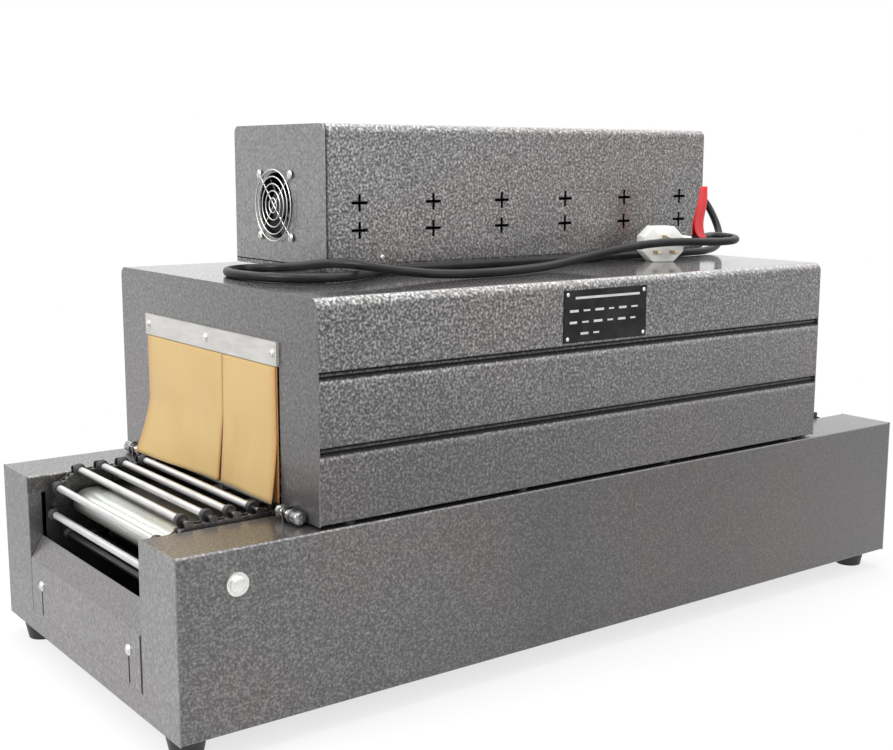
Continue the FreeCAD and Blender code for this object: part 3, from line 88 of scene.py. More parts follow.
def photo_camera():
    """The camera looks back along its heading and height, rolled about that line; its lens is
    the focal length in pixels over the photo's width, times the sensor's width."""
    azimuth, elevation, roll = (radians(a) for a in camera_turn)
    back = Vector((sin(azimuth) * cos(elevation), -cos(azimuth) * cos(elevation),
                   sin(elevation)))
    level = (-back).cross(Vector((0, 0, 1))).normalized()
    upright = level.cross(-back)
    right = level * cos(roll) + upright * sin(roll)
    up = upright * cos(roll) - level * sin(roll)
    data = bpy.data.cameras.new("photo_camera")
    data.sensor_width = sensor_width
    data.lens = focal_length / photo_width * sensor_width
    data.clip_start = 0.05
    data.clip_end = 50
    camera = placed("photo_camera", data)
    turn = Matrix((right, up, back)).transposed().to_4x4()
    camera.matrix_world = Matrix.Translation(camera_place) @ turn
    bpy.context.scene.camera = camera


photo_camera()

# The cord's route: x, y and the height over the hood's top, in millimetres
cord_route = [
    (387, 48, 88), (405, 48, 88), (421, 42, 83), (430, 30, 70), (431, 15, 50), (426, -1, 30),
    (412, -16, 15), (389, -29, 8), (359, -39, 5.3), (322, -44, 5.3), (272, -45, 5.3),
    (215, -42, 5.3), (158, -46, 5.3), (102, -43, 5.3), (46, -46.5, 5.3), (-10, -43, 5.3),
    (-64, -45.5, 5.3), (-114, -43.5, 5.3), (-158, -49, 5.3), (-193, -62, 5.3), (-224, -81, 5.3),
    (-255, -97, 5.3), (-287, -99, 5.3), (-315, -80, 5.3), (-332, -50, 5.3), (-338, -14, 5.3),
    (-337, 20, 5.3), (-323, 49, 5.3), (-295, 61, 5.3), (-270, 45, 6.1), (-260, 14, 8.5),
    (-257, -22, 12.6), (-253, -57, 17), (-240, -93, 17.2), (-213, -121, 11.6), (-175, -139, 7),
    (-130, -146, 5.3), (-84, -144, 5.3), (-38, -135, 5.7), (6, -122, 6.4), (50, -114, 10.5),
    (94, -112, 16.5), (136, -115, 22.5), (176, -119, 26), (216, -121.5, 26.8), (256, -125, 25.2),
    (292, -127, 24.2), (320, -124.5, 25), (337, -111, 26.6), (333, -91, 28.5), (312, -87, 29.5),
    (291, -99, 29), (268, -104, 26.5), (251, -97.52, 25),
]
cord_points = np.array(cord_route) / 1000 + (0, 0, hood_top)
cord_radius = 0.005
tag_run = -3


# Node helpers

def add(tree, kind, inputs=None, **settings):
    """A shader node with its settings and inputs; an input is a number, a colour or a socket."""
    made = tree.nodes.new(kind)
    for key, value in settings.items():
        setattr(made, key, value)
    for key, value in (inputs or {}).items():
        if isinstance(value, bpy.types.NodeSocket):
            tree.links.new(value, made.inputs[key])
        else:
            made.inputs[key].default_value = value
    return made


def ramp(tree, value, stops):
    """A colour ramp with (position, grey or colour) stops."""
    made = add(tree, "ShaderNodeValToRGB", {"Fac": value})
    elements = made.color_ramp.elements
    while len(elements) < len(stops):
        elements.new(0.5)
    for element, (position, tone) in zip(elements, stops):
        element.position = position
        element.color = (*tone, 1) if isinstance(tone, tuple) else (tone, tone, tone, 1)
    return made.outputs["Color"]


def blend(tree, share, low, high, kind="MIX"):
    """Two colours mixed by a share from 0 to 1, or combined in another way by that share."""
    low, high = (v if isinstance(v, bpy.types.NodeSocket) else (*v[:3], 1) for v in (low, high))
    made = add(tree, "ShaderNodeMix", data_type="RGBA", blend_type=kind)
    for place, value in ((0, share), (6, low), (7, high)):
        if isinstance(value, bpy.types.NodeSocket):
            tree.links.new(value, made.inputs[place])
        else:
            made.inputs[place].default_value = value
    return made.outputs[2]


def maths(tree, kind, first, second):
    """One sum of two values, each a number or a socket."""
    return add(tree, "ShaderNodeMath", {0: first, 1: second}, operation=kind).outputs[0]


def times(tree, first, second):
    """The first value times the second."""
    return maths(tree, "MULTIPLY", first, second)


def less(tree, first, second):
    """The first value minus the second."""
    return maths(tree, "SUBTRACT", first, second)


def spread(tree, value, start, end, low=0, high=1, kind="LINEAR"):
    """The way from start to end laid over the way from low to high."""
    return add(tree, "ShaderNodeMapRange",
               {"Value": value, "From Min": start, "From Max": end, "To Min": low,
                "To Max": high}, interpolation_type=kind).outputs[0]


def noise(tree, place, scale, detail=2):
    """Noise that changes smoothly with the place, from 0 to 1, about scale lumps to a metre."""
    return add(tree, "ShaderNodeTexNoise",
               {"Vector": place, "Scale": scale, "Detail": detail}).outputs["Fac"]


def coordinates(tree, kind="Object"):
    """The point's own place on the piece, or another of its coordinates."""
    return add(tree, "ShaderNodeTexCoord").outputs[kind]


def parts_of(tree, vector):
    """A vector's X, Y and Z."""
    return add(tree, "ShaderNodeSeparateXYZ", {"Vector": vector}).outputs


def relief(tree, height, strength, distance):
    """The surface's normal, tilted by the slope of the height times the distance."""
    return add(tree, "ShaderNodeBump", {"Strength": strength, "Distance": distance,
                                        "Height": height}).outputs["Normal"]


COLOR, FLOAT = "NodeSocketColor", "NodeSocketFloat"


def group(name, *inputs):
    """An empty node group with inputs as (name, kind, value), and the values they give."""
    tree = bpy.data.node_groups.new(name, "ShaderNodeTree")
    for title, kind, value in inputs:
        socket = tree.interface.new_socket(name=title, in_out="INPUT", socket_type=kind)
        socket.default_value = value
    return tree, tree.nodes.new("NodeGroupInput").outputs


def put_out(tree, colour, roughness, height):
    """The group with its three outputs filled."""
    ends = (("Color", COLOR, colour), ("Roughness", FLOAT, roughness), ("Height", FLOAT, height))
    for title, kind, value in ends:
        tree.interface.new_socket(name=title, in_out="OUTPUT", socket_type=kind)
    given = tree.nodes.new("NodeGroupOutput").inputs
    for title, kind, value in ends:
        tree.links.new(value, given[title])
    return tree


def hammered_group():
    """Hammered paint: a net of bright flecks round dark pits, a few millimetres from one to the
    next, over faint clouds. Its contrast fades towards the exit end and towards the floor."""
    tree, given = group(
        "hammered_paint", ("Pit", COLOR, (0.05, 0.05, 0.05, 1)),
        ("Body", COLOR, (0.15, 0.14, 0.14, 1)), ("Fleck", COLOR, (0.4, 0.4, 0.38, 1)),
        ("Scale", FLOAT, 290), ("Speckle", FLOAT, 1), ("Fade", FLOAT, 0.25),
        ("Sink", FLOAT, 0.4))
    place = coordinates(tree)
    parts = parts_of(tree, place)
    grain = noise(tree, place, given["Scale"], 0)
    cells = add(tree, "ShaderNodeTexVoronoi",
                {"Vector": place, "Scale": times(tree, given["Scale"], 0.82)}, feature="F1")
    rise = times(tree, less(tree, grain, 0.5), 1.7)
    pit = times(tree, less(tree, cells.outputs["Distance"], 0.49), 0.4)
    along = spread(tree, parts["X"], -0.35, 0.45)
    down = spread(tree, parts["Z"], 0.4, 0.22)
    faded = less(tree, 1, times(tree, along, given["Fade"]))
    sunk = less(tree, 1, times(tree, down, given["Sink"]))
    contrast = times(tree, times(tree, faded, sunk), given["Speckle"])
    value = maths(tree, "ADD", times(tree, less(tree, rise, pit), contrast), 0.5)
    low = blend(tree, ramp(tree, value, [(0.08, 0), (0.5, 1)]), given["Pit"], given["Body"])
    both = blend(tree, ramp(tree, value, [(0.5, 0), (0.92, 1)]), low, given["Fleck"])
    tint = ramp(tree, noise(tree, place, 4.5, 1),
                [(0.3, (0.93, 0.94, 0.96)), (0.52, (1, 1, 1)), (0.75, (1.08, 1.01, 1.02))])
    return put_out(tree, blend(tree, 1, both, tint, "MULTIPLY"),
                   ramp(tree, value, [(0.2, 0.5), (0.8, 0.32)]), value)


def worn_metal_group():
    """Handled metal: fine streaks along one axis and soft smudges, as a colour and a
    roughness."""
    tree, given = group(
        "worn_metal", ("Metal", COLOR, (0.6, 0.6, 0.6, 1)), ("Dull", COLOR, (0.3, 0.3, 0.3, 1)),
        ("Stretch", "NodeSocketVector", (1, 1, 1)), ("Scale", FLOAT, 200),
        ("Low", FLOAT, 0.2), ("High", FLOAT, 0.45))
    place = coordinates(tree)
    drawn = add(tree, "ShaderNodeMapping", {"Vector": place, "Scale": given["Stretch"]})
    streak = noise(tree, drawn.outputs[0], given["Scale"], 4)
    share = times(tree, streak, noise(tree, place, 22, 3))
    dulled = ramp(tree, share, [(0.12, 0), (0.42, 1)])
    return put_out(tree, blend(tree, dulled, given["Metal"], given["Dull"]),
                   spread(tree, share, 0.1, 0.45, given["Low"], given["High"]), streak)


def moulded_group():
    """Moulded plastic or rubber: an even colour with faint mottling and a fine grain."""
    tree, given = group(
        "moulded_skin", ("Shade", COLOR, (0.03, 0.03, 0.03, 1)),
        ("Bloom", COLOR, (0.06, 0.06, 0.06, 1)), ("Scale", FLOAT, 900), ("Low", FLOAT, 0.4),
        ("High", FLOAT, 0.6))
    place = coordinates(tree)
    mottle = noise(tree, place, 45, 3)
    share = ramp(tree, mottle, [(0.42, 0), (0.72, 1)])
    return put_out(tree, blend(tree, share, given["Shade"], given["Bloom"]),
                   spread(tree, mottle, 0.3, 0.7, given["Low"], given["High"]),
                   noise(tree, place, given["Scale"]))


# Finishes

hammered = hammered_group()
worn = worn_metal_group()
moulded = moulded_group()
finishes = {}


def new_material(name):
    """A material kept under its name, with its node tree and its Principled inputs."""
    made = finishes[name] = bpy.data.materials.new(name)
    made.use_nodes = True
    return made, made.node_tree, made.node_tree.nodes["Principled BSDF"].inputs


def place_shade(tree, axis, low, high, stops):
    """Painted light and shade: a factor along one axis of the object, from low to high in metres;
    it may lie above 1, so the ramp holds halves."""
    share = spread(tree, parts_of(tree, coordinates(tree))[axis], low, high)
    halves = [((at - low) / (high - low), tone / 2) for at, tone in stops]
    return times(tree, ramp(tree, share, halves), 2)


def material(name, effect, values, bump=0, distance=0.0005, shades=(), **shader):
    """A Principled material whose colour, roughness and relief come from a node group; shades
    paint light and shade into its colour by place, and the first one into its coat too."""
    made, tree, inputs = new_material(name)
    source = add(tree, "ShaderNodeGroup")
    source.node_tree = effect
    for key, value in values.items():
        is_colour = isinstance(value, tuple) and key != "Stretch"
        source.inputs[key].default_value = (*value, 1) if is_colour else value
    colour = source.outputs["Color"]
    tones = [place_shade(tree, *shade) for shade in shades]
    for tone in tones:
        colour = blend(tree, 1, colour, tone, "MULTIPLY")
    tree.links.new(colour, inputs["Base Color"])
    tree.links.new(source.outputs["Roughness"], inputs["Roughness"])
    if bump:
        tree.links.new(relief(tree, source.outputs["Height"], bump, distance), inputs["Normal"])
    for key, value in shader.items():
        inputs[key.replace("_", " ")].default_value = value
    if shades and "Coat_Weight" in shader:
        tree.links.new(times(tree, tones[0], shader["Coat_Weight"]), inputs["Coat Weight"])


def painted(name, values, *shades, **change):
    """Hammered paint under a clear coat."""
    look = {"bump": 0.08, "distance": 0.0004, "Metallic": 0.85, "Coat_Weight": 0.6,
            "Coat_Roughness": 0.15}
    material(name, hammered, values, shades=shades, **{**look, **change})


def cloth_material(name, light, dark, warm, slit=(1, 0)):
    """Coated glass cloth: a fine plain weave, a paler middle, browner rims and a warm tint
    towards the outer edge and, low down, along the slit, all laid out on the sheet's own map; the
    slit's place there is its first number plus the second times the height. The warm line along
    the slit is partly the cloth's cut edge and partly painted shade in the open slit."""
    made, tree, inputs = new_material(name)
    place = add(tree, "ShaderNodeUVMap").outputs["UV"]
    parts = parts_of(tree, place)
    weft, warp = (add(tree, "ShaderNodeTexWave", {"Vector": place, "Scale": 260,
                                                  "Distortion": 0.4}, bands_direction=way)
                  for way in "XY")
    weave = times(tree, weft.outputs["Fac"], warp.outputs["Fac"])
    clouds = noise(tree, place, 14, 3)
    tone = blend(tree, ramp(tree, clouds, [(0.35, 0), (0.7, 0.55)]), light, dark)
    tone = blend(tree, ramp(tree, parts["Y"], [(0, 0), (0.14, 0.3)]), tone, dark)
    tone = blend(tree, ramp(tree, parts["X"], [(0, 0.75), (0.012, 0)]), tone, warm)
    # The warm line along the slit, low down: partly the cloth's cut edge, partly painted shade in
    # the open slit.
    line = maths(tree, "ADD", times(tree, parts["Y"], slit[1]), slit[0])
    rim = ramp(tree, less(tree, line, parts["X"]), [(0, 0.95), (0.0018, 0.8), (0.005, 0)])
    low = ramp(tree, parts["Y"], [(0, 1), (0.055, 1), (0.078, 0.1), (0.12, 0.45)])
    tone = blend(tree, times(tree, rim, low), tone, warm)
    tone = blend(tree, times(tree, weave, 0.16), tone, dark, "MULTIPLY")
    tree.links.new(tone, inputs["Base Color"])
    tree.links.new(relief(tree, weave, 0.25, 0.0002), inputs["Normal"])
    inputs["Roughness"].default_value = 0.52
    inputs["Sheen Weight"].default_value = 0.25


# The pressed grooves by height: floor and upper bend lie in shadow, the lower lip catches light
groove_levels = (0.205 + 0.22 / 3, 0.205 + 0.44 / 3)
groove_profile = [(-0.0118, 1), (-0.01, 1.1), (-0.0086, 1.5), (-0.0072, 1.9),
                  (-0.006, 1.4), (-0.005, 0.3), (-0.004, 0.05), (-0.0022, 0.05),
                  (-0.001, 0.38), (0, 0.42), (0.0012, 0.14), (0.002, 0.14),
                  (0.0032, 0.55), (0.0048, 0.95)]
groove_shade = [(level + at, tone) for level in groove_levels for at, tone in groove_profile]
# Painted light on the hood by height: darker towards the floor, a painted highlight along the top
# bend and, over the top, a darker painted reflection of the control box.
hood_painted_light = [(0.205, 0.66), (0.275, 0.72), (0.285, 0.84), (0.348, 0.92), (0.356, 1),
             (0.4205, 1), (0.424, 1.35), (0.4246, 1.2), (0.42495, 0.42)]

hood_paint = {"Pit": (0.036, 0.034, 0.033), "Body": (0.142, 0.138, 0.136),
              "Fleck": (0.42, 0.41, 0.4), "Scale": 365, "Speckle": 0.85, "Fade": 0.45}
box_paint = {"Pit": (0.045, 0.043, 0.042), "Body": (0.168, 0.164, 0.162),
             "Fleck": (0.48, 0.47, 0.46), "Scale": 350, "Speckle": 0.72}
base_paint = {"Pit": (0.04, 0.038, 0.037), "Body": (0.15, 0.146, 0.144),
              "Fleck": (0.4, 0.39, 0.38), "Scale": 410, "Speckle": 0.62, "Fade": 0.8}
# end_paint has a lighter body than the sides' paint, partly painted light on the ends that face
# the key lamp; its hammer is also smoother.
end_paint = {"Pit": (0.13, 0.127, 0.126), "Body": (0.235, 0.23, 0.229),
             "Fleck": (0.38, 0.375, 0.37), "Scale": 340, "Speckle": 0.5, "Sink": 0.2}

painted("hammertone", base_paint)
# A dark line along the cover's edge at the seam with the end plate: painted shade in the joint.
painted("hammertone_box", box_paint,
        ("X", -0.25, 0.36, [(-0.242, 0.2), (-0.2403, 0.2), (-0.2395, 1)]))
painted("box_lip", box_paint)
painted("box_ends", end_paint)
# The hood: painted light and shade in its grooves and by height, and lighter towards the exit
# end.
painted("hammertone_hood", hood_paint, ("Z", 0.2, 0.43, groove_shade),
        ("Z", 0.2, 0.43, hood_painted_light), ("X", -0.37, 0.37, [(-0.37, 0.92), (0.37, 1.1)]),
        Coat_Weight=0.95, Coat_Roughness=0.07)
# The base's sides: painted shade, darkest near the middle and lightest towards the ends.
painted("hammertone_base", base_paint,
        ("X", -0.525, 0.525, [(-0.5, 0.9), (-0.3, 0.86), (-0.1, 0.7), (0.15, 0.72),
                              (0.5, 0.88)]))
# The base's ends: painted light, lightest on the -y side.
painted("hammertone_ends", end_paint,
        ("Y", -0.23, 0.23, [(-0.2, 0.93), (-0.1, 0.82), (0.2, 0.76)]))
# The hood's ends: painted shade, darkest on the -y side.
painted("hood_ends", end_paint, ("Y", -0.23, 0.23, [(-0.2, 0.64), (-0.1, 0.68), (0.16, 0.8)]))

# Metals: colour, dull colour, stretch, scale, lowest and highest roughness, bump, metallic
even = (1, 1, 1)
metals = {
    "galvanised": ((0.8, 0.83, 0.78), (0.6, 0.64, 0.6), (1, 0.12, 1), 90, 0.22, 0.48, 0.08, 0.75),
    "steel": ((0.55, 0.55, 0.54), (0.3, 0.29, 0.28), (0.1, 1, 1), 300, 0.2, 0.45, 0.05, 1),
    "bright_rod": ((0.66, 0.655, 0.65), (0.46, 0.455, 0.45), (1, 0.15, 1), 240, 0.28, 0.46, 0.05,
                   0.8),
    "bed": ((0.8, 0.83, 0.78), (0.62, 0.66, 0.61), (1, 0.1, 1), 90, 0.22, 0.45, 0.1, 0.6),
    "chain_steel": ((0.16, 0.155, 0.15), (0.035, 0.033, 0.032), even, 400, 0.25, 0.55, 0.1, 0.9),
    "pin_steel": ((0.3, 0.295, 0.29), (0.1, 0.1, 0.1), even, 300, 0.15, 0.35, 0, 0.95),
    "bolt_steel": ((0.55, 0.55, 0.54), (0.14, 0.14, 0.14), even, 170, 0.12, 0.3, 0.1, 0.95),
    "zinc": ((0.82, 0.82, 0.8), (0.52, 0.52, 0.5), even, 260, 0.2, 0.4, 0.05, 0.9),
    "motor_paint": ((0.48, 0.49, 0.5), (0.34, 0.35, 0.36), even, 150, 0.4, 0.6, 0.1, 0.6),
    "heater": ((0.3, 0.27, 0.24), (0.12, 0.1, 0.1), even, 120, 0.35, 0.6, 0, 0.85),
    "strip": ((0.55, 0.54, 0.52), (0.43, 0.42, 0.4), (1, 0.1, 1), 260, 0.3, 0.5, 0.04, 0.35),
    "brass": ((0.5, 0.42, 0.3), (0.22, 0.18, 0.12), even, 300, 0.22, 0.4, 0, 1),
}
metal_shades = {
    # bright_rod: painted shade on the rods low in the machine and on the underside of the upper
    # run's rods.
    "bright_rod": [("Z", 0.1, 0.22, [(0.14, 0.1), (0.154, 1), (0.2034, 1), (0.204, 0.25),
                                     (0.2056, 0.4), (0.2072, 1)])],
    # bed: painted shade below the nose, towards the +y side, in thin lines at the nose's tip and
    # at its bend into the flat, and over the flat under the rods.
    "bed": [("Z", 0.1, 0.2, [(0.158, 0.04), (0.166, 0.22), (0.176, 1)]),
            ("Y", -0.15, 0.15, [(0.095, 1), (0.122, 0.3)]),
            ("X", -0.5, 0.5, [(-0.481, 1), (-0.479, 0.72), (-0.4775, 1), (-0.4602, 1),
                              (-0.459, 0.45), (-0.4578, 1), (-0.4545, 0.85), (-0.45, 0.05),
                              (0.45, 0.05), (0.4545, 0.85)])],
}
for name, (metal, dull, stretch, scale, low, high, bump, metallic) in metals.items():
    material(name, worn, {"Metal": metal, "Dull": dull, "Stretch": stretch, "Scale": scale,
                          "Low": low, "High": high}, bump, shades=metal_shades.get(name, ()),
             Metallic=metallic)

# Plastics and the like: colour, bloom, lowest and highest roughness, bump, mirror light
plastics = {
    "rubber": ((0.012, 0.011, 0.011), (0.035, 0.034, 0.033), 0.4, 0.6, 0.3, 0.5),
    # Near-black for painted shade in the vents and in the gap beside the apron.
    "gap_black": ((0.004, 0.004, 0.004), (0.008, 0.008, 0.008), 0.4, 0.6, 0, 0.1),
    "dark_frame": ((0.02, 0.02, 0.02), (0.038, 0.037, 0.036), 0.4, 0.6, 0.1, 0.5),
    "porcelain": ((0.8, 0.78, 0.73), (0.7, 0.67, 0.6), 0.3, 0.5, 0.05, 0.5),
    "black_plastic": ((0.014, 0.014, 0.015), (0.03, 0.03, 0.031), 0.4, 0.6, 0.2, 0.5),
    "white_plastic": ((0.86, 0.86, 0.83), (0.78, 0.78, 0.75), 0.28, 0.42, 0.04, 0.5),
    "controls": ((0.05, 0.05, 0.055), (0.09, 0.09, 0.095), 0.4, 0.6, 0.2, 0.5),
    "plate": ((0.008, 0.008, 0.009), (0.02, 0.02, 0.021), 0.3, 0.45, 0.03, 0.15),
    "cord": ((0.009, 0.0093, 0.01), (0.018, 0.018, 0.019), 0.3, 0.42, 0.06, 0.2),
    "tag": ((0.6, 0.008, 0.014), (0.68, 0.02, 0.024), 0.32, 0.5, 0.15, 0.5),
    # The tag's tail: the tape's other side, darkened by painted shade under the cord.
    "tag_back_painted_shade": ((0.16, 0.1, 0.13), (0.24, 0.16, 0.2), 0.4, 0.6, 0, 0.5),
    "white_mark": ((0.52, 0.52, 0.51), (0.42, 0.42, 0.41), 0.5, 0.6, 0, 0.5),
}
for name, (shade, bloom, low, high, bump, mirror) in plastics.items():
    material(name, moulded, {"Shade": shade, "Bloom": bloom, "Low": low, "High": high}, bump,
             Specular_IOR_Level=mirror)
material("blanket", moulded, {"Shade": (0.66, 0.63, 0.55), "Bloom": (0.8, 0.78, 0.72),
                              "Scale": 250, "Low": 0.85, "High": 0.98}, 0.7, 0.002)

cloth_colours = (0.545, 0.377, 0.136), (0.46, 0.295, 0.092), (0.42, 0.19, 0.04)
cloth_material("cloth", *cloth_colours, slit=(0.1818, 0.09))
cloth_material("cloth_narrow", *cloth_colours, slit=(0.1157, -0.0231))
cloth_material("cloth_rear", (0.42, 0.2, 0.045), (0.34, 0.15, 0.03), (0.36, 0.16, 0.04))

own_finishes = {"hood_shell": "hammertone_hood", "control_box_shell": "hammertone_box",
                "chain_frame_front": "dark_frame", "chain_frame_back": "dark_frame",
                "cross_bars": "dark_frame", "base_floor": "dark_frame", "bed_pan": "bed",
                "hood_spacers": "black_plastic", "control_end_fan": "box_ends",
                "control_end_cable": "box_ends", "base_casing_front": "hammertone_base",
                "base_casing_back": "hammertone_base", "hood_end_entry": "hood_ends",
                "hood_end_exit": "hood_ends"}


def dress_cad_nodes():
    """Every CAD node gets the procedural finish of its slot in the record, or its own form of
    that finish."""
    for part in record["subparts"]:
        body = frame["nodes"][part["node"]]
        finish = finishes[own_finishes.get(part["node"], part["material_slot"])]
        if not body.material_slots:
            body.data.materials.append(finish)
        for place in body.material_slots:
            place.material = finish


# Mesh helpers

def quads(rows, columns, closed=True):
    """Faces between neighbouring rows of a grid; closed joins its last column to its first."""
    i = np.arange(rows - 1)[:, None]
    j = np.arange(columns if closed else columns - 1)[None, :]
    k = (j + 1) % columns
    return grid(i * columns + j, i * columns + k, (i + 1) * columns + k,
                (i + 1) * columns + j).reshape(-1, 4)


def piece(name, verts, faces, finish, body="root", sharp=30, mend=True, uv=None):
    """A mesh object that rides on a body, with doubles merged and its faces turned outwards."""
    mesh = bpy.data.meshes.new(name)
    mesh.from_pydata(np.asarray(verts).reshape(-1, 3).tolist(), [],
                     [list(map(int, f)) for f in faces])
    if uv is not None:
        layer = mesh.uv_layers.new(name="UVMap")
        corners = np.empty(len(mesh.loops), dtype=np.int64)
        mesh.loops.foreach_get("vertex_index", corners)
        layer.data.foreach_set("uv", np.asarray(uv)[corners].ravel())
    made = placed(name, mesh)
    if mend:
        work = bmesh.new()
        work.from_mesh(mesh)
        bmesh.ops.remove_doubles(work, verts=work.verts, dist=1e-6)
        bmesh.ops.recalc_face_normals(work, faces=work.faces)
        work.to_mesh(mesh)
        work.free()
    mesh.polygons.foreach_set("use_smooth", [True] * len(mesh.polygons))
    mesh.set_sharp_from_angle(angle=radians(sharp))
    mesh.materials.append(finishes[finish])
    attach(made, body)
    return made


def thicken(made, name, thickness):
    """A sheet's wall: half of the thickness to each side."""
    wall = made.modifiers.new(name, "SOLIDIFY")
    wall.thickness = thickness
    wall.offset = 0


def steps_round(count):
    """Equal steps of one full turn."""
    return np.linspace(0, 2 * pi, count, endpoint=False)


def grid(*parts):
    """Coordinates spread over one grid and stacked into points."""
    return np.stack(np.broadcast_arrays(*parts), -1)


def frame_of(axis):
    """Three right-angled directions as rows: two across the axis and the axis itself."""
    axis = np.asarray(axis, float)
    axis = axis / np.linalg.norm(axis)
    helper = (0, 0, 1) if abs(axis[2]) < 0.9 else (1, 0, 0)
    first = np.cross(helper, axis)
    first /= np.linalg.norm(first)
    return np.stack([first, np.cross(axis, first), axis])


def lathe(profile, segments=32):
    """Points r cos t, r sin t, h for each (r, h) of the profile and each angle t."""
    r, h = np.asarray(profile, float).T[:, :, None]
    t = steps_round(segments)
    return grid(r * np.cos(t), r * np.sin(t), h).reshape(-1, 3), quads(len(profile), segments)


def copies(verts, faces, places, axes):
    """One shape set down many times: point = place + its coordinates times the axes' rows."""
    verts = np.asarray(verts)
    places = np.asarray(places, float).reshape(-1, 3)
    axes = np.broadcast_to(np.asarray(axes, float), (len(places), 3, 3))
    many = places[:, None, :] + np.einsum("vi,kij->kvj", verts, axes)
    starts = (np.arange(len(places)) * len(verts)).tolist()
    return many.reshape(-1, 3), [[int(v) + s for v in f] for s in starts for f in faces]


def plates(outline, low, high):
    """A flat plate: the outline's points at two heights, its rim and its two faces."""
    outline = np.asarray(outline, float)
    n = len(outline)
    both = [grid(*outline.T, h) for h in (low, high)]
    faces = quads(2, n).tolist() + [list(range(n))[::-1], list(range(n, 2 * n))]
    return np.concatenate(both), faces


def rectangle(x0, y0, x1, y1):
    """The four corners, in turn, between two opposite ones."""
    return np.array([(x0, y0), (x1, y0), (x1, y1), (x0, y1)])


def joined(*shapes):
    """Several (verts, faces) as one."""
    verts, faces, count = [], [], 0
    for v, f in shapes:
        verts.append(np.asarray(v).reshape(-1, 3))
        faces += [[int(i) + count for i in face] for face in f]
        count += len(verts[-1])
    return np.concatenate(verts), faces


def rings_along_y(rings, places):
    """Points (x, y, z) of rings of (x, z) points, each ring at its own y."""
    return grid(rings[..., 0], np.array(places)[:, None], rings[..., 1]).reshape(-1, 3)


# The cord, its plug and its tag

def make_cord():
    """A circle carried along a smooth curve that is led by the route's points."""
    data = bpy.data.curves.new("mains_cord", "CURVE")
    data.dimensions = "3D"
    data.bevel_depth = cord_radius
    data.bevel_resolution = 6
    data.resolution_u = 12
    data.use_fill_caps = True
    line = data.splines.new("NURBS")
    line.points.add(len(cord_points) - 1)
    line.points.foreach_set("co", np.column_stack([cord_points,
                                                   np.ones(len(cord_points))]).ravel())
    line.order_u = 3
    line.use_endpoint_u = True
    cord = placed("mains_cord", data)
    data.materials.append(finishes["cord"])
    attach(cord, "root")
    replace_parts(cord, "power_cord")
    return cord


plug_centre = np.array([0.222, -0.084, hood_top])
plug_turn = radians(-25)
plug_axes = np.array([[cos(plug_turn), sin(plug_turn), 0],
                      [-sin(plug_turn), cos(plug_turn), 0], [0, 0, 1]])


def make_plug():
    """The plug's body is an octagon with rounded corners, carried from the pin face to the
    back and drawn in there along a quarter ellipse; its cord sleeve is a ribbed cone."""
    w, h, c, round_off, flat_reach = 0.027, 0.045, 0.013, 0.0022, 0.0225
    corners = np.array([(-w + c, 0), (w - c, 0), (w, c), (w, h - c), (w - c, h), (-w + c, h),
                        (-w, h - c), (-w, c)])
    middle = np.array([0, h / 2])
    inner = middle + (corners - middle) * (1 - round_off / flat_reach)
    facing = np.radians(np.array([270, 315, 0, 45, 90, 135, 180, 225]) - 22.5)
    t = facing[:, None] + np.radians([-22.5, -7.5, 7.5, 22.5])[None, :]
    ring = (inner[:, None, :] + round_off * grid(np.cos(t), np.sin(t))).reshape(-1, 2)
    depth = np.array([-17, -17, -16.6, -15.6, -8, 2, 8, 10.5, 12.8, 14.8, 16.2, 17, 17]) / 1000
    size = np.array([0.001, 0.93, 0.975, 1, 1, 1, 1, 0.985, 0.95, 0.9, 0.82, 0.7, 0.001])
    flat = middle + (ring - middle)[None] * size[:, None, None]
    body = rings_along_y(flat, depth), quads(len(depth), len(ring))
    rib = np.arange(19)
    along = rib * 0.0009
    radius = 0.0082 - 0.0024 * rib / 18 + 0.0005 * (rib % 3 != 2)
    cone = lathe(np.concatenate([[(0.004, -0.002)], np.column_stack([radius, along]),
                                 [(0.0052, along[-1])]]), 24)
    sleeve = copies(*cone, [(w - 0.0008, 0, 0.025)], frame_of([1, 0, 0]))
    plug = piece("plug_body", *copies(*joined(body, sleeve), [plug_centre], plug_axes),
                 "white_plastic", sharp=35)
    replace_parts(plug, "power_plug")
    shapes = []
    long, short = 0.00315, 0.002
    for x, z, a, b in ((-0.011, 0.013, long, short), (0.011, 0.013, long, short),
                       (0, 0.031, short, long)):
        tip = np.array([1, 1, 0.72])
        rings = rectangle(-a, -b, a, b)[None] * tip[:, None, None] + (x, z)
        pin = rings_along_y(rings, [-0.015, -0.033, -0.034])
        shapes.append((pin, quads(3, 4).tolist() + [[8, 9, 10, 11], [3, 2, 1, 0]]))
    pins = piece("plug_pins", *copies(*joined(*shapes), [plug_centre], plug_axes), "brass",
                 sharp=25)
    return plug, pins


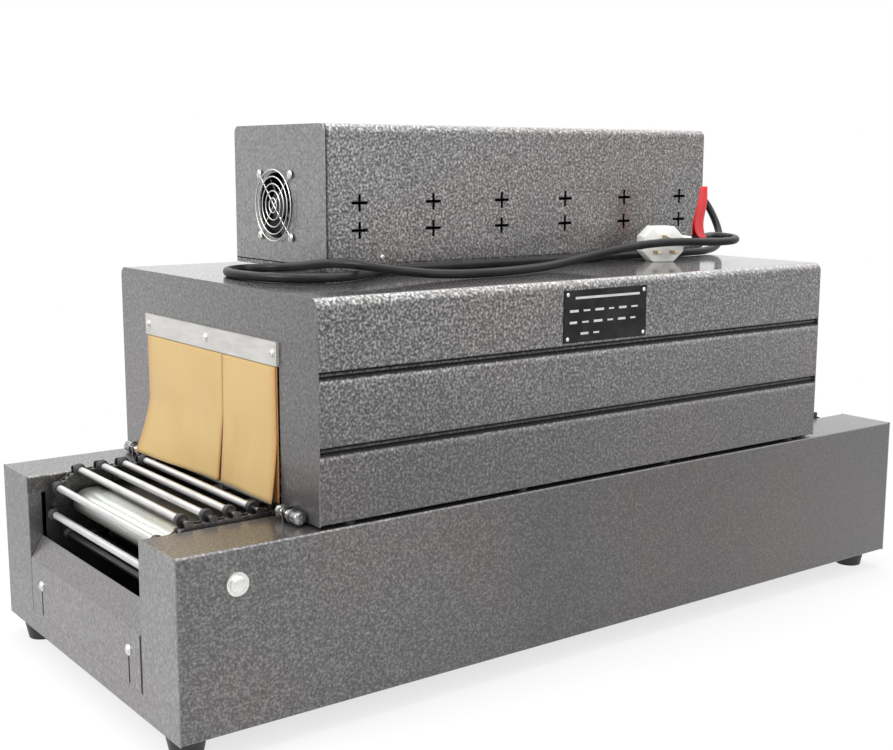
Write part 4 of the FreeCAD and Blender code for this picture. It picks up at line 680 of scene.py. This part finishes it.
def make_tag():
    """Red tape folded over the cord: a ribbon round the cord, narrow at its foot, widest below
    its middle and leaning towards the exit at its top, with a short tail under the cord. The tail
    is the tape's other side, darkened by painted shade under the cord."""
    before, after = cord_points[tag_run], cord_points[tag_run + 1]
    seat = (before + after) / 2
    along = (before - after) / np.linalg.norm(before - after)
    level = along * (1, 1, 0)
    side = np.array([-along[1], along[0], 0])
    upward = np.array([0, 0, 1])
    v = np.linspace(0, 1, 29)[:, None]
    u = np.linspace(-0.5, 0.5, 9)[None, :]
    width = 0.0165 + 0.006 * np.sin(pi * v ** 0.75) - 0.0018 * v ** 3
    lean = -0.002 - 0.0046 * np.sin(pi * v ** 0.7) + 0.008 * v ** 1.5
    across = (lean + u * width)[..., None]
    bow = 0.0014 * np.sin(2.2 * pi * v) + 0.0008 * np.cos(3 * pi * u) * v
    shapes = []
    for face in (-1, 1):
        y = (face * (0.0052 * (1 - v) ** 6 + 0.0007) + bow)[..., None]
        points = seat + across * level + y * side + 0.0665 * v[..., None] * upward
        shapes.append((points, quads(len(v), u.size, closed=False)))
    t = np.linspace(0, pi, 13)[:, None]
    ring = (seat + (0.0015 + u[..., None] * 0.0118) * level
            + 0.0059 * np.cos(t)[..., None] * side - 0.0059 * np.sin(t)[..., None] * upward)
    shapes.append((ring, quads(len(t), u.size, closed=False)))
    tag = piece("red_tag", *joined(*shapes), "tag", sharp=60)
    w = np.linspace(0, 1, 7)[:, None]
    tail = (seat + (-0.001 + u[..., None] * 0.0155) * level
            - (0.0062 + 0.0052 * w)[..., None] * upward
            + (0.0015 * w ** 2 + 0 * u)[..., None] * side)
    tail = piece("tag_tail", tail, quads(len(w), u.size, closed=False), "tag_back_painted_shade", sharp=60)
    thicken(tag, "tape", 0.0006)
    thicken(tail, "tape", 0.0006)
    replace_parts(tag, "cord_tag")
    return tag, tail


cord = make_cord()
plug, pins = make_plug()
tag, tail = make_tag()


# Conveyor chain, rods and sleeves

def chain_pins():
    """The chain's pins on its loop: eight steps round the entry sprocket, the lower run, eight
    steps round the exit sprocket and the upper run, each as (x, z)."""
    step = 2 * pi / sprocket_teeth
    wrap = pi / 2 + np.arange(sprocket_teeth // 2) * step
    run = np.arange(straight_links) * chain_pitch
    r = pitch_radius
    half = np.concatenate([grid(-axle_x + r * np.cos(wrap), r * np.sin(wrap)),
                           grid(-axle_x + run, -r)])
    return np.concatenate([half, -half])


def link_frames():
    """Each link's middle and its directions along the chain, outwards and across."""
    pins = chain_pins()
    following = np.roll(pins, -1, axis=0)
    middle = (pins + following) / 2
    along = following - pins
    along /= np.linalg.norm(along, axis=1)[:, None]
    places = grid(middle[:, 0], 0, middle[:, 1] + axle_z)
    forward = grid(along[:, 0], 0, along[:, 1])
    outward = grid(along[:, 1], 0, -along[:, 0])
    across = np.broadcast_to([0, 1, 0], forward.shape)
    return pins, places, np.stack([forward, outward, across], 1)


def make_chain(name, node, side):
    """Roller chain: waisted plates in pairs, wide and narrow by turns, rollers on every pin
    and, on each wide link, two lugs that rise to the rod."""
    pins, places, axes = link_frames()
    places = places + (0, side * chain_y, 0)
    t = steps_round(16)
    reach = 0.0056
    waist = np.abs(np.cos(t))
    outline = grid(np.sign(np.cos(t)) * chain_pitch / 2 * (waist > 0.3) + reach * np.cos(t),
                   reach * np.sin(t) * (0.78 + 0.22 * waist))
    lug = [(-0.0042, 0.0035), (0.0042, 0.0035), (0.0042, 0.0085), (0.0028, 0.0104),
           (-0.0028, 0.0104), (-0.0042, 0.0085)]
    narrow = joined(plates(outline, 0.00405, 0.00545), plates(outline, -0.00545, -0.00405))
    wide = joined(plates(outline, 0.0056, 0.007), plates(outline, -0.007, -0.0056),
                  plates(lug, 0.0058, 0.0068), plates(lug, -0.0068, -0.0058))
    spots = grid(pins[:, 0], side * chain_y, pins[:, 1] + axle_z)
    roller = lathe([(0, -0.0039), (0.0036, -0.0039), (0.00396, -0.0035), (0.00396, 0.0035),
                    (0.0036, 0.0039), (0, 0.0039)], 12)
    stud = lathe([(0, -0.0073), (0.0019, -0.0073), (0.0019, 0.0073), (0, 0.0073)], 8)
    turn = frame_of([0, 1, 0])
    chain = joined(copies(*narrow, places[1::2], axes[1::2]),
                   copies(*wide, places[::2], axes[::2]), copies(*roller, spots, turn),
                   copies(*stud, spots, turn))
    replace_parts(piece(name, *chain, "chain_steel", sharp=35), node)


def rod_spots():
    """The rods' axes: over the middle of every second link, at one height over the chain."""
    places, axes = link_frames()[1:]
    spots = places[::2] + rod_lift * axes[::2, 1]
    from_axle = spots - np.where(spots[:, :1] < 0, -1, 1) * (axle_x, 0, 0) - (0, 0, axle_z)
    on_wrap = np.abs(spots[:, 0]) > axle_x
    reach = np.linalg.norm(from_axle, axis=1)
    factor = np.where(on_wrap, (pitch_radius + rod_lift) / reach, 1)
    return spots + from_axle * (factor - 1)[:, None]


def make_rods():
    """Bars, sleeves and pins: profiles turned round each rod's axis, with the sleeves and pins
    mirrored to both ends."""
    spots = rod_spots()
    turn = frame_of([0, 1, 0])
    r = rod_radius
    bar = lathe([(0, -0.1275), (r - 0.0004, -0.1275), (r, -0.1271), (r, 0.1271),
                 (r - 0.0004, 0.1275), (0, 0.1275)], 20)
    rods = piece("conveyor_rods_bright", *copies(*bar, spots, turn), "bright_rod")
    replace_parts(rods, "conveyor_rods")
    sleeve = np.array([(0, 0.1262), (0.0056, 0.1262), (0.0062, 0.1268), (0.0062, 0.13),
                       (0.0068, 0.1304), (0.0068, 0.1334), (0.0062, 0.134), (0, 0.134)])
    pin = np.array([(0, 0.133), (0.0023, 0.133), (0.0023, 0.1455), (0.0018, 0.146), (0, 0.146)])
    for name, profile, segments, finish in (("rod_sleeves", sleeve, 20, "black_plastic"),
                                            ("rod_pins", pin, 12, "pin_steel")):
        both = joined(*[lathe(profile * (1, side), segments) for side in (-1, 1)])
        piece(name, *copies(*both, spots, turn), finish)


# Curtains

def make_flap(end, kind, inner, outer, layer, kick, finish):
    """One cloth flap on a grid: u runs across from inner to outer, v down from the strip; the
    slit opens in its lower half. It hangs straight and kicks outwards below a soft crease, by
    an amount that changes across. At the exit its upper edge turns in under the strip, so that
    it clears the strip when it swings out."""
    at_exit = end == "exit"
    side, base = (1, hood_end) if at_exit else (-1, hood_start)
    columns, rows = 37, 33
    u = np.linspace(0, 1, columns)[None, :]
    v = np.linspace(0, 1, rows)[:, None]
    top_y = inner[0] + (outer[0] - inner[0]) * u
    low_y = inner[1] + (outer[1] - inner[1]) * u
    y = top_y + (low_y - top_y) * np.clip((v - 0.5) / 0.5, 0, 1) ** 0.8
    share = np.clip((v - 0.52) / 0.48, 0, 1)
    out = (0.5 if at_exit else 1) * share ** 1.35 * (kick[0] + (kick[1] - kick[0]) * u)
    ripple = 0.0011 * np.sin(2 * pi * (1.6 * u + 0.35 * v)) * v + 0.0007 * np.sin(9 * u) * v
    tuck = 0.0008 if at_exit else 0
    start = 0.0009 + 0.0011 * layer - tuck * np.clip(1 - v / 0.06, 0, 1)
    x = base + side * (start + out + np.maximum(ripple, -0.0004) + 0.0004 * v)
    fall = curtain_length * v - 0.7 * out * out / curtain_length
    flat = grid(np.abs(y - outer[0]), (1 - v) * curtain_length)
    made = piece(f"{end}_curtain_{kind}", grid(x, y, curtain_top - fall),
                 quads(rows, columns, closed=False), finish,
                 body=f"{end}_{kind}_flap", mend=False, uv=flat.reshape(-1, 2), sharp=80)
    thicken(made, "cloth", 0.0008)
    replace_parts(made, f"{end}_flap_{kind}")


def make_curtains():
    """At each end two front flaps that part at a slit, and a whole one behind them."""
    for end in ("entry", "exit"):
        make_flap(end, "wide", (-0.0365, -0.0298), (0.1515, 0.1515), 1, (0.003, 0.02), "cloth")
        make_flap(end, "narrow", (-0.0375, -0.0343), (-0.15, -0.15), 1, (0.003, 0.007),
                  "cloth_narrow")
        make_flap(end, "rear", (0.149, 0.149), (-0.1515, -0.1515), 0, (0, 0), "cloth_rear")


# Screws, rivets and the nameplate's lines

def screw_head(radius, height, cross=True):
    """A pan head as a height over a disc: a flattened dome, less a cross-shaped recess whose
    depth falls off towards the arms' ends."""
    r = np.concatenate([np.linspace(0, 0.86, 12), [0.94, 0.985, 1]])[:, None]
    t = steps_round(40)[None, :]
    x, y = r * np.cos(t), r * np.sin(t)
    dome = np.sqrt(np.clip(1 - 0.75 * r ** 3, 0, 1)) * np.where(r > 0.99, 0, 1)
    arm = np.minimum(np.abs(x), np.abs(y) if cross else np.abs(x))
    recess = np.clip(1 - (arm / 0.13) ** 4, 0, 1) * np.clip((0.62 - r) / 0.12, 0, 1)
    verts = grid(x * radius, y * radius, height * (dome - 0.55 * recess))
    return verts.reshape(-1, 3), quads(len(r), t.size)


def place_screws(name, radius, height, places, axis, washer=(0, 0), cross=True):
    """Pan heads at the places, facing along the axis, each on a washer if one is given."""
    verts, faces = screw_head(radius, height, cross)
    wide, thick = washer
    shape = verts + (0, 0, thick), faces
    if thick:
        ring = lathe([(0, 0), (wide, 0), (wide, thick * 0.7), (wide - thick * 0.3, thick),
                      (0, thick)], 28)
        shape = joined(shape, ring)
    piece(name, *copies(*shape, places, frame_of(axis)), "zinc", sharp=40)


def make_fasteners():
    """Screws in rows on the clamp strips and the aprons, round the fan and on the control box,
    and rivets at the nameplate's corners."""
    ends = (("entry", -1, hood_start - 0.003), ("exit", 1, hood_end + 0.003))
    for end, sign, x in ends:
        place_screws("strip_screws_" + end, 0.0034, 0.002,
                     [(x, y, strip_bottom + strip_height / 2) for y in (-0.146, 0, 0.146)],
                     (sign, 0, 0), washer=(0.0052, 0.0007))
    for end, sign, x in ends:
        place_screws("apron_screws_" + end, 0.0036, 0.0022,
                     [(sign * base_end, y, 0.084) for y in (-0.119, 0.119)], (sign, 0, 0),
                     washer=(0.0058, 0.0009))
    place_screws("fan_screws", 0.004, 0.0024,
                 [(box_start - 0.0016, fan_y + a * fan_hole, fan_z + b * fan_hole)
                  for a in (-1, 1) for b in (-1, 1)], (-1, 0, 0))
    place_screws("box_screw", 0.003, 0.0016,
                 [(x, box_front, box_bottom + 0.009) for x in (-0.168, 0.282)], (0, -1, 0))
    place_screws("plate_rivets", 0.0022, 0.0013,
                 [(x, plate_face, z) for x in (-0.0612, 0.0522) for z in (0.362, 0.41)],
                 (0, -1, 0), cross=False)


def make_plate_lines():
    """Plain bars in rows where such a plate carries its figures: one long bar over three rows
    of short ones, each a thin slab on the plate."""
    rng = np.random.default_rng(7)
    bars = [(plate_left + 0.014, plate_top - 0.0085, 0.096, 0.0026)]
    for row, count, inset in ((0, 6, 0.006), (1, 6, 0.006), (2, 2, 0.022)):
        x = plate_left + inset
        for k in range(count):
            length = (0.0085 if k % 2 else 0.012) + rng.uniform(-0.0015, 0.0015)
            bars.append((x, plate_top - 0.0225 - 0.0125 * row, length,
                         0.0019 if k % 2 else 0.0026))
            x += length + 0.0075
    verts, faces = joined(*[
        plates(rectangle(x, z - thick / 2, x + length, z + thick / 2), 0, 0.00015)
        for x, z, length, thick in bars])
    verts = grid(verts[:, 0], plate_face - verts[:, 2], verts[:, 1])
    piece("plate_lines", verts, faces, "white_mark")


def make_fan_guard():
    """Round wire: rings that are tori about the fan's axis, and four spokes to the eyes that
    cross in the middle."""
    wire, turns, sides = 0.0007, 64, 10
    t, s = steps_round(turns)[:, None], steps_round(sides)[None, :]
    torus_faces = quads(turns + 1, sides) % (turns * sides)

    def torus(middle, radius):
        """A circle of the wire's radius, by angle s, carried round a larger one, by angle t."""
        ring = radius + wire * np.cos(s)
        return middle + grid(-wire * np.sin(s), ring * np.cos(t), ring * np.sin(t)), torus_faces

    centre = np.array([box_start - 0.0044, fan_y, fan_z])
    foot = centre + (0.0022, 0, 0)
    shapes = [torus(centre, radius) for radius in (0.0085, 0.0168, 0.025, 0.0332, 0.0412)]
    reach = fan_hole * sqrt(2)
    for k in range(4):
        angle = pi / 4 + k * pi / 2
        d = np.array([0, cos(angle), sin(angle)])
        start, end = centre + (0.0013, 0, 0), foot + (reach - 0.004) * d
        length = np.linalg.norm(end - start)
        bar = lathe([(0, 0), (wire, 0), (wire, length), (0, length)], 10)
        shapes += [copies(*bar, [start], frame_of(end - start)), torus(foot + reach * d, 0.0044)]
    guard = piece("fan_guard_wire", *joined(*shapes), "zinc", sharp=50)
    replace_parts(guard, "fan_guard")


def make_clamp_bolts():
    """Barrels across the rails: a collar at the inner end, a grooved shank through its lug, and
    a washer under a slotted head at the outer end."""
    gap = 0.0078
    collar = [(0, 0.165), (0.0058, 0.165), (0.0066, 0.1656), (0.0066, 0.1674), (0.006, 0.168),
              (0.0066, 0.1686), (0.0066, 0.1704), (0.0052, 0.1712), (0, 0.1712)]
    washer = [(0, 0.1895), (0.0074, 0.1895), (0.0075, 0.19), (0.0075, 0.1912),
              (0.0074, 0.1916), (0, 0.1916)]
    head = [(0, 0.1916), (0.0064, 0.1916), (0.0068, 0.1922), (0.0068, 0.2038),
            (0.0066, 0.2042), (0, 0.2042)]
    ridge = np.arange(17)
    shank = np.column_stack([0.0047 + 0.0006 * (ridge % 2), 0.1712 + ridge * 0.0011])
    shank = lathe(np.concatenate([[(0, 0.171)], shank, [(0, 0.1895)]]), 20)
    lug = plates([(-0.0065, 0), (0.0065, 0), (0.0065, 0.013), (0.005, 0.015),
                  (-0.005, 0.015), (-0.0065, 0.013)], 0, 0.003)
    face, face_quads = screw_head(0.0066, 0.0018, cross=False)
    barrel = joined(*[lathe(profile, 28) for profile in (collar, washer, head)],
                    (face + (0, 0, 0.204), face_quads))
    bright, dark = [], []
    for x in (hood_start - gap, hood_end + gap):
        for side in (-1, 1):
            stand = [(x, 0, base_top + gap)], frame_of([0, side, 0])
            bright.append(copies(*barrel, *stand))
            dark.append(copies(*shank, *stand))
            across, up, thick = lug[0].T
            dark.append((grid(x + across, side * (0.179 + thick), base_top + up), lug[1]))
    made = piece("hood_clamp_barrels", *joined(*bright), "bolt_steel", sharp=35)
    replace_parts(made, "hood_clamp_bolts")
    piece("hood_clamp_shanks", *joined(*dark), "pin_steel", sharp=35)


def make_box_skirt():
    """The lower lip of the control box's cover: four thin walls under its lower bend."""
    low, high, wall = box_bottom - 0.0048, box_bottom + 0.0012, 0.001
    x0, x1, y0, y1 = box_start, box_end, box_front, box_back
    walls = [(x0, y0, x1, y0 + wall), (x0, y1 - wall, x1, y1),
             (x0, y0 + wall, x0 + wall, y1 - wall), (x1 - wall, y0 + wall, x1, y1 - wall)]
    piece("box_lower_lip", *joined(*[plates(rectangle(*w), low, high) for w in walls]),
          "box_lip")


def make_cut_edges():
    """Painted shade: black rims round the cross vents, which make the vents look wider, and a
    black strip in the gap beside the entry apron.
    """
    def cross(x, z, grow):
        """The twelve corners of an upright cross, with every edge moved out by one amount."""
        a, b, h = 0.0103 + grow, 0.00915 + grow, 0.00125 + grow
        return [(x + i, z + k) for i, k in ((a, -h), (a, h), (h, h), (h, b), (-h, b), (-h, h),
                                            (-a, h), (-a, -h), (-h, -h), (-h, -b), (h, -b),
                                            (h, -h))]

    shapes = []
    rim = [[k, (k + 1) % 12, 12 + (k + 1) % 12, 12 + k] for k in range(12)]
    for column in range(6):
        for row in vent_rows:
            place = (vent_middle + vent_pitch * (column - 2.5), box_bottom + row)
            flat = np.array(cross(*place, 0) + cross(*place, 0.0005))
            shapes.append((grid(flat[:, 0], box_front - 0.0001, flat[:, 1]), rim))
    piece("vent_painted_shade", *joined(*shapes), "gap_black", mend=False)
    verts, faces = plates(rectangle(-0.1489, 0.049, -0.1466, 0.1065), 0, 0.00015)
    verts = grid(-base_end - verts[:, 2], verts[:, 0], verts[:, 1])
    piece("apron_gap_painted_shade", verts, faces, "gap_black")


# Marks on the controls, and the gland's ribs

def figure(text, size):
    """A number's flat outline as a thin mesh, centred on its origin."""
    data = bpy.data.curves.new("figure_" + text, "FONT")
    data.body = text
    data.size = size
    data.align_x = "CENTER"
    data.align_y = "CENTER"
    data.extrude = 0.0001
    data.resolution_u = 3
    holder = placed("figure_" + text, data)
    mesh = holder.to_mesh()
    verts = np.array([v.co[:] for v in mesh.vertices])
    faces = [list(f.vertices) for f in mesh.polygons]
    holder.to_mesh_clear()
    bpy.data.objects.remove(holder)
    bpy.data.curves.remove(data)
    return verts, faces


def on_back(verts, x, rise):
    """Flat shapes set on the control box's back: their x runs to the left seen from behind."""
    z = box_bottom + control_line
    return grid(x - verts[:, 0], box_back + rise + verts[:, 2], z + verts[:, 1])


def make_controls():
    """Dial plates with ticks and plain numbers, and the lines on the knobs."""
    discs, marks = [], []
    for x in knob_x.values():
        t = steps_round(48)
        verts, faces = plates(grid(0.029 * np.cos(t), 0.029 * np.sin(t)), 0, 0.0004)
        discs.append((on_back(verts, x, 0), faces))
        for k in range(11):
            turn = radians(225 - 27 * k)
            d = np.array([cos(turn), sin(turn)])
            e = 0.0003 * np.array([-d[1], d[0]])
            near, far = 0.0192 * d, 0.022 * d
            verts, faces = plates([near - e, near + e, far + e, far - e], 0, 0.00012)
            marks.append((on_back(verts, x, 0.0004), faces))
            if k % 2 == 0:
                verts, faces = figure(str(k), 0.0052)
                marks.append((on_back(verts + (*(0.0252 * d), 0), x, 0.0005), faces))
    piece("dial_plates", *joined(*discs), "plate")
    piece("dial_marks", *joined(*marks), "white_mark", mend=False)
    for name, x in knob_x.items():
        verts, faces = plates(rectangle(-0.0007, 0.0032, 0.0007, 0.0122), 0, 0.0011)
        piece(name + "_line", on_back(verts, x, 0.0145), faces, "white_mark", body=name)


def make_gland():
    """Ribs round the gland's sleeve: thin rings whose radius follows the sleeve's taper."""
    shapes = []
    for at in 0.0095 + 0.0036 * np.arange(6):
        radius = 0.0095 - 0.003 * (at - 0.006) / 0.024
        inside, outside = radius - 0.0006, radius + 0.0005
        ring = lathe([(inside, at - 0.0009), (outside, at - 0.0006), (outside, at + 0.0006),
                      (inside, at + 0.0009)], 24)
        shapes.append(copies(*ring, [(box_end, gland_y, hood_top + gland_rise)],
                             frame_of([1, 0, 0])))
    piece("gland_ribs", *joined(*shapes), "black_plastic")


# Floor, lights and surroundings

def make_stage():
    """A pale floor that glows white to the camera, most of all away from the machine."""
    mesh = bpy.data.meshes.new("floor")
    mesh.from_pydata([(-6, -6, 0), (6, -6, 0), (6, 6, 0), (-6, 6, 0)], [], [(0, 1, 2, 3)])
    floor = placed("floor", mesh)
    pale = bpy.data.materials.new("pale_floor")
    pale.use_nodes = True
    tree = pale.node_tree
    principled = tree.nodes["Principled BSDF"]
    principled.inputs["Base Color"].default_value = (0.86, 0.86, 0.86, 1)
    principled.inputs["Roughness"].default_value = 0.9
    glow = add(tree, "ShaderNodeEmission", {"Color": (1, 1, 1, 1), "Strength": 1})
    rays = add(tree, "ShaderNodeLightPath").outputs
    seen = maths(tree, "MAXIMUM", rays["Is Camera Ray"], rays["Is Glossy Ray"])
    squeezed = add(tree, "ShaderNodeMapping", {"Vector": coordinates(tree),
                                               "Scale": (1, 1.6, 1)})
    away = add(tree, "ShaderNodeVectorMath", {0: squeezed.outputs[0]}, operation="LENGTH")
    share = spread(tree, away.outputs["Value"], 0.65, 1.25, 0.72, 1, "SMOOTHSTEP")
    both = add(tree, "ShaderNodeMixShader", {0: times(tree, seen, share),
                                             1: principled.outputs[0], 2: glow.outputs[0]})
    tree.links.new(both.outputs[0], tree.nodes["Material Output"].inputs["Surface"])
    mesh.materials.append(pale)


def make_world():
    """A white sky, dimmer low down; mirror light falls off faster, and the camera sees white."""
    world = bpy.data.worlds.new("studio")
    bpy.context.scene.world = world
    world.use_nodes = True
    tree = world.node_tree
    sky = tree.nodes["Background"].inputs
    sky["Color"].default_value = (1, 1, 1, 1)
    rays = add(tree, "ShaderNodeLightPath").outputs
    seen = maths(tree, "MAXIMUM", rays["Is Camera Ray"], rays["Is Transmission Ray"])
    height = parts_of(tree, coordinates(tree, "Generated"))["Z"]
    soft = spread(tree, height, -0.1, 0.8, 0.35, 1)
    gloss = spread(tree, height, 0.22, 0.7, 1, 2.6, "SMOOTHSTEP")
    lit = add(tree, "ShaderNodeMix", {0: rays["Is Glossy Ray"], 2: soft, 3: gloss})
    level = add(tree, "ShaderNodeMix", {0: seen, 2: lit.outputs[0], 3: 1})
    tree.links.new(level.outputs[0], sky["Strength"])


def area_light(name, place, aim, size, power):
    """A round lamp at its place, turned to face its aim."""
    data = bpy.data.lights.new(name, "AREA")
    data.shape = "DISK"
    data.size = size
    data.energy = power
    lamp = placed(name, data)
    lamp.location = place
    lamp.rotation_mode = "QUATERNION"
    lamp.rotation_quaternion = (Vector(aim) - Vector(place)).to_track_quat("-Z", "Y")


dress_cad_nodes()
make_chain("front_chain_links", "conveyor_chain_front", -1)
make_chain("back_chain_links", "conveyor_chain_back", 1)
make_rods()
make_curtains()
make_fasteners()
make_plate_lines()
make_fan_guard()
make_clamp_bolts()
make_box_skirt()
make_cut_edges()
make_controls()
make_gland()
make_stage()
make_world()
area_light("key_light", (-3, 0.2, 2.2), (0, 0, 0.2), 1.6, 70)
area_light("front_light", (0.4, -3.2, 1.8), (0, 0, 0.3), 2.4, 38)
area_light("top_light", (0.3, 0.2, 3), (0.1, 0, 0.3), 2, 30)

bpy.context.scene.view_settings.view_transform = "Standard"
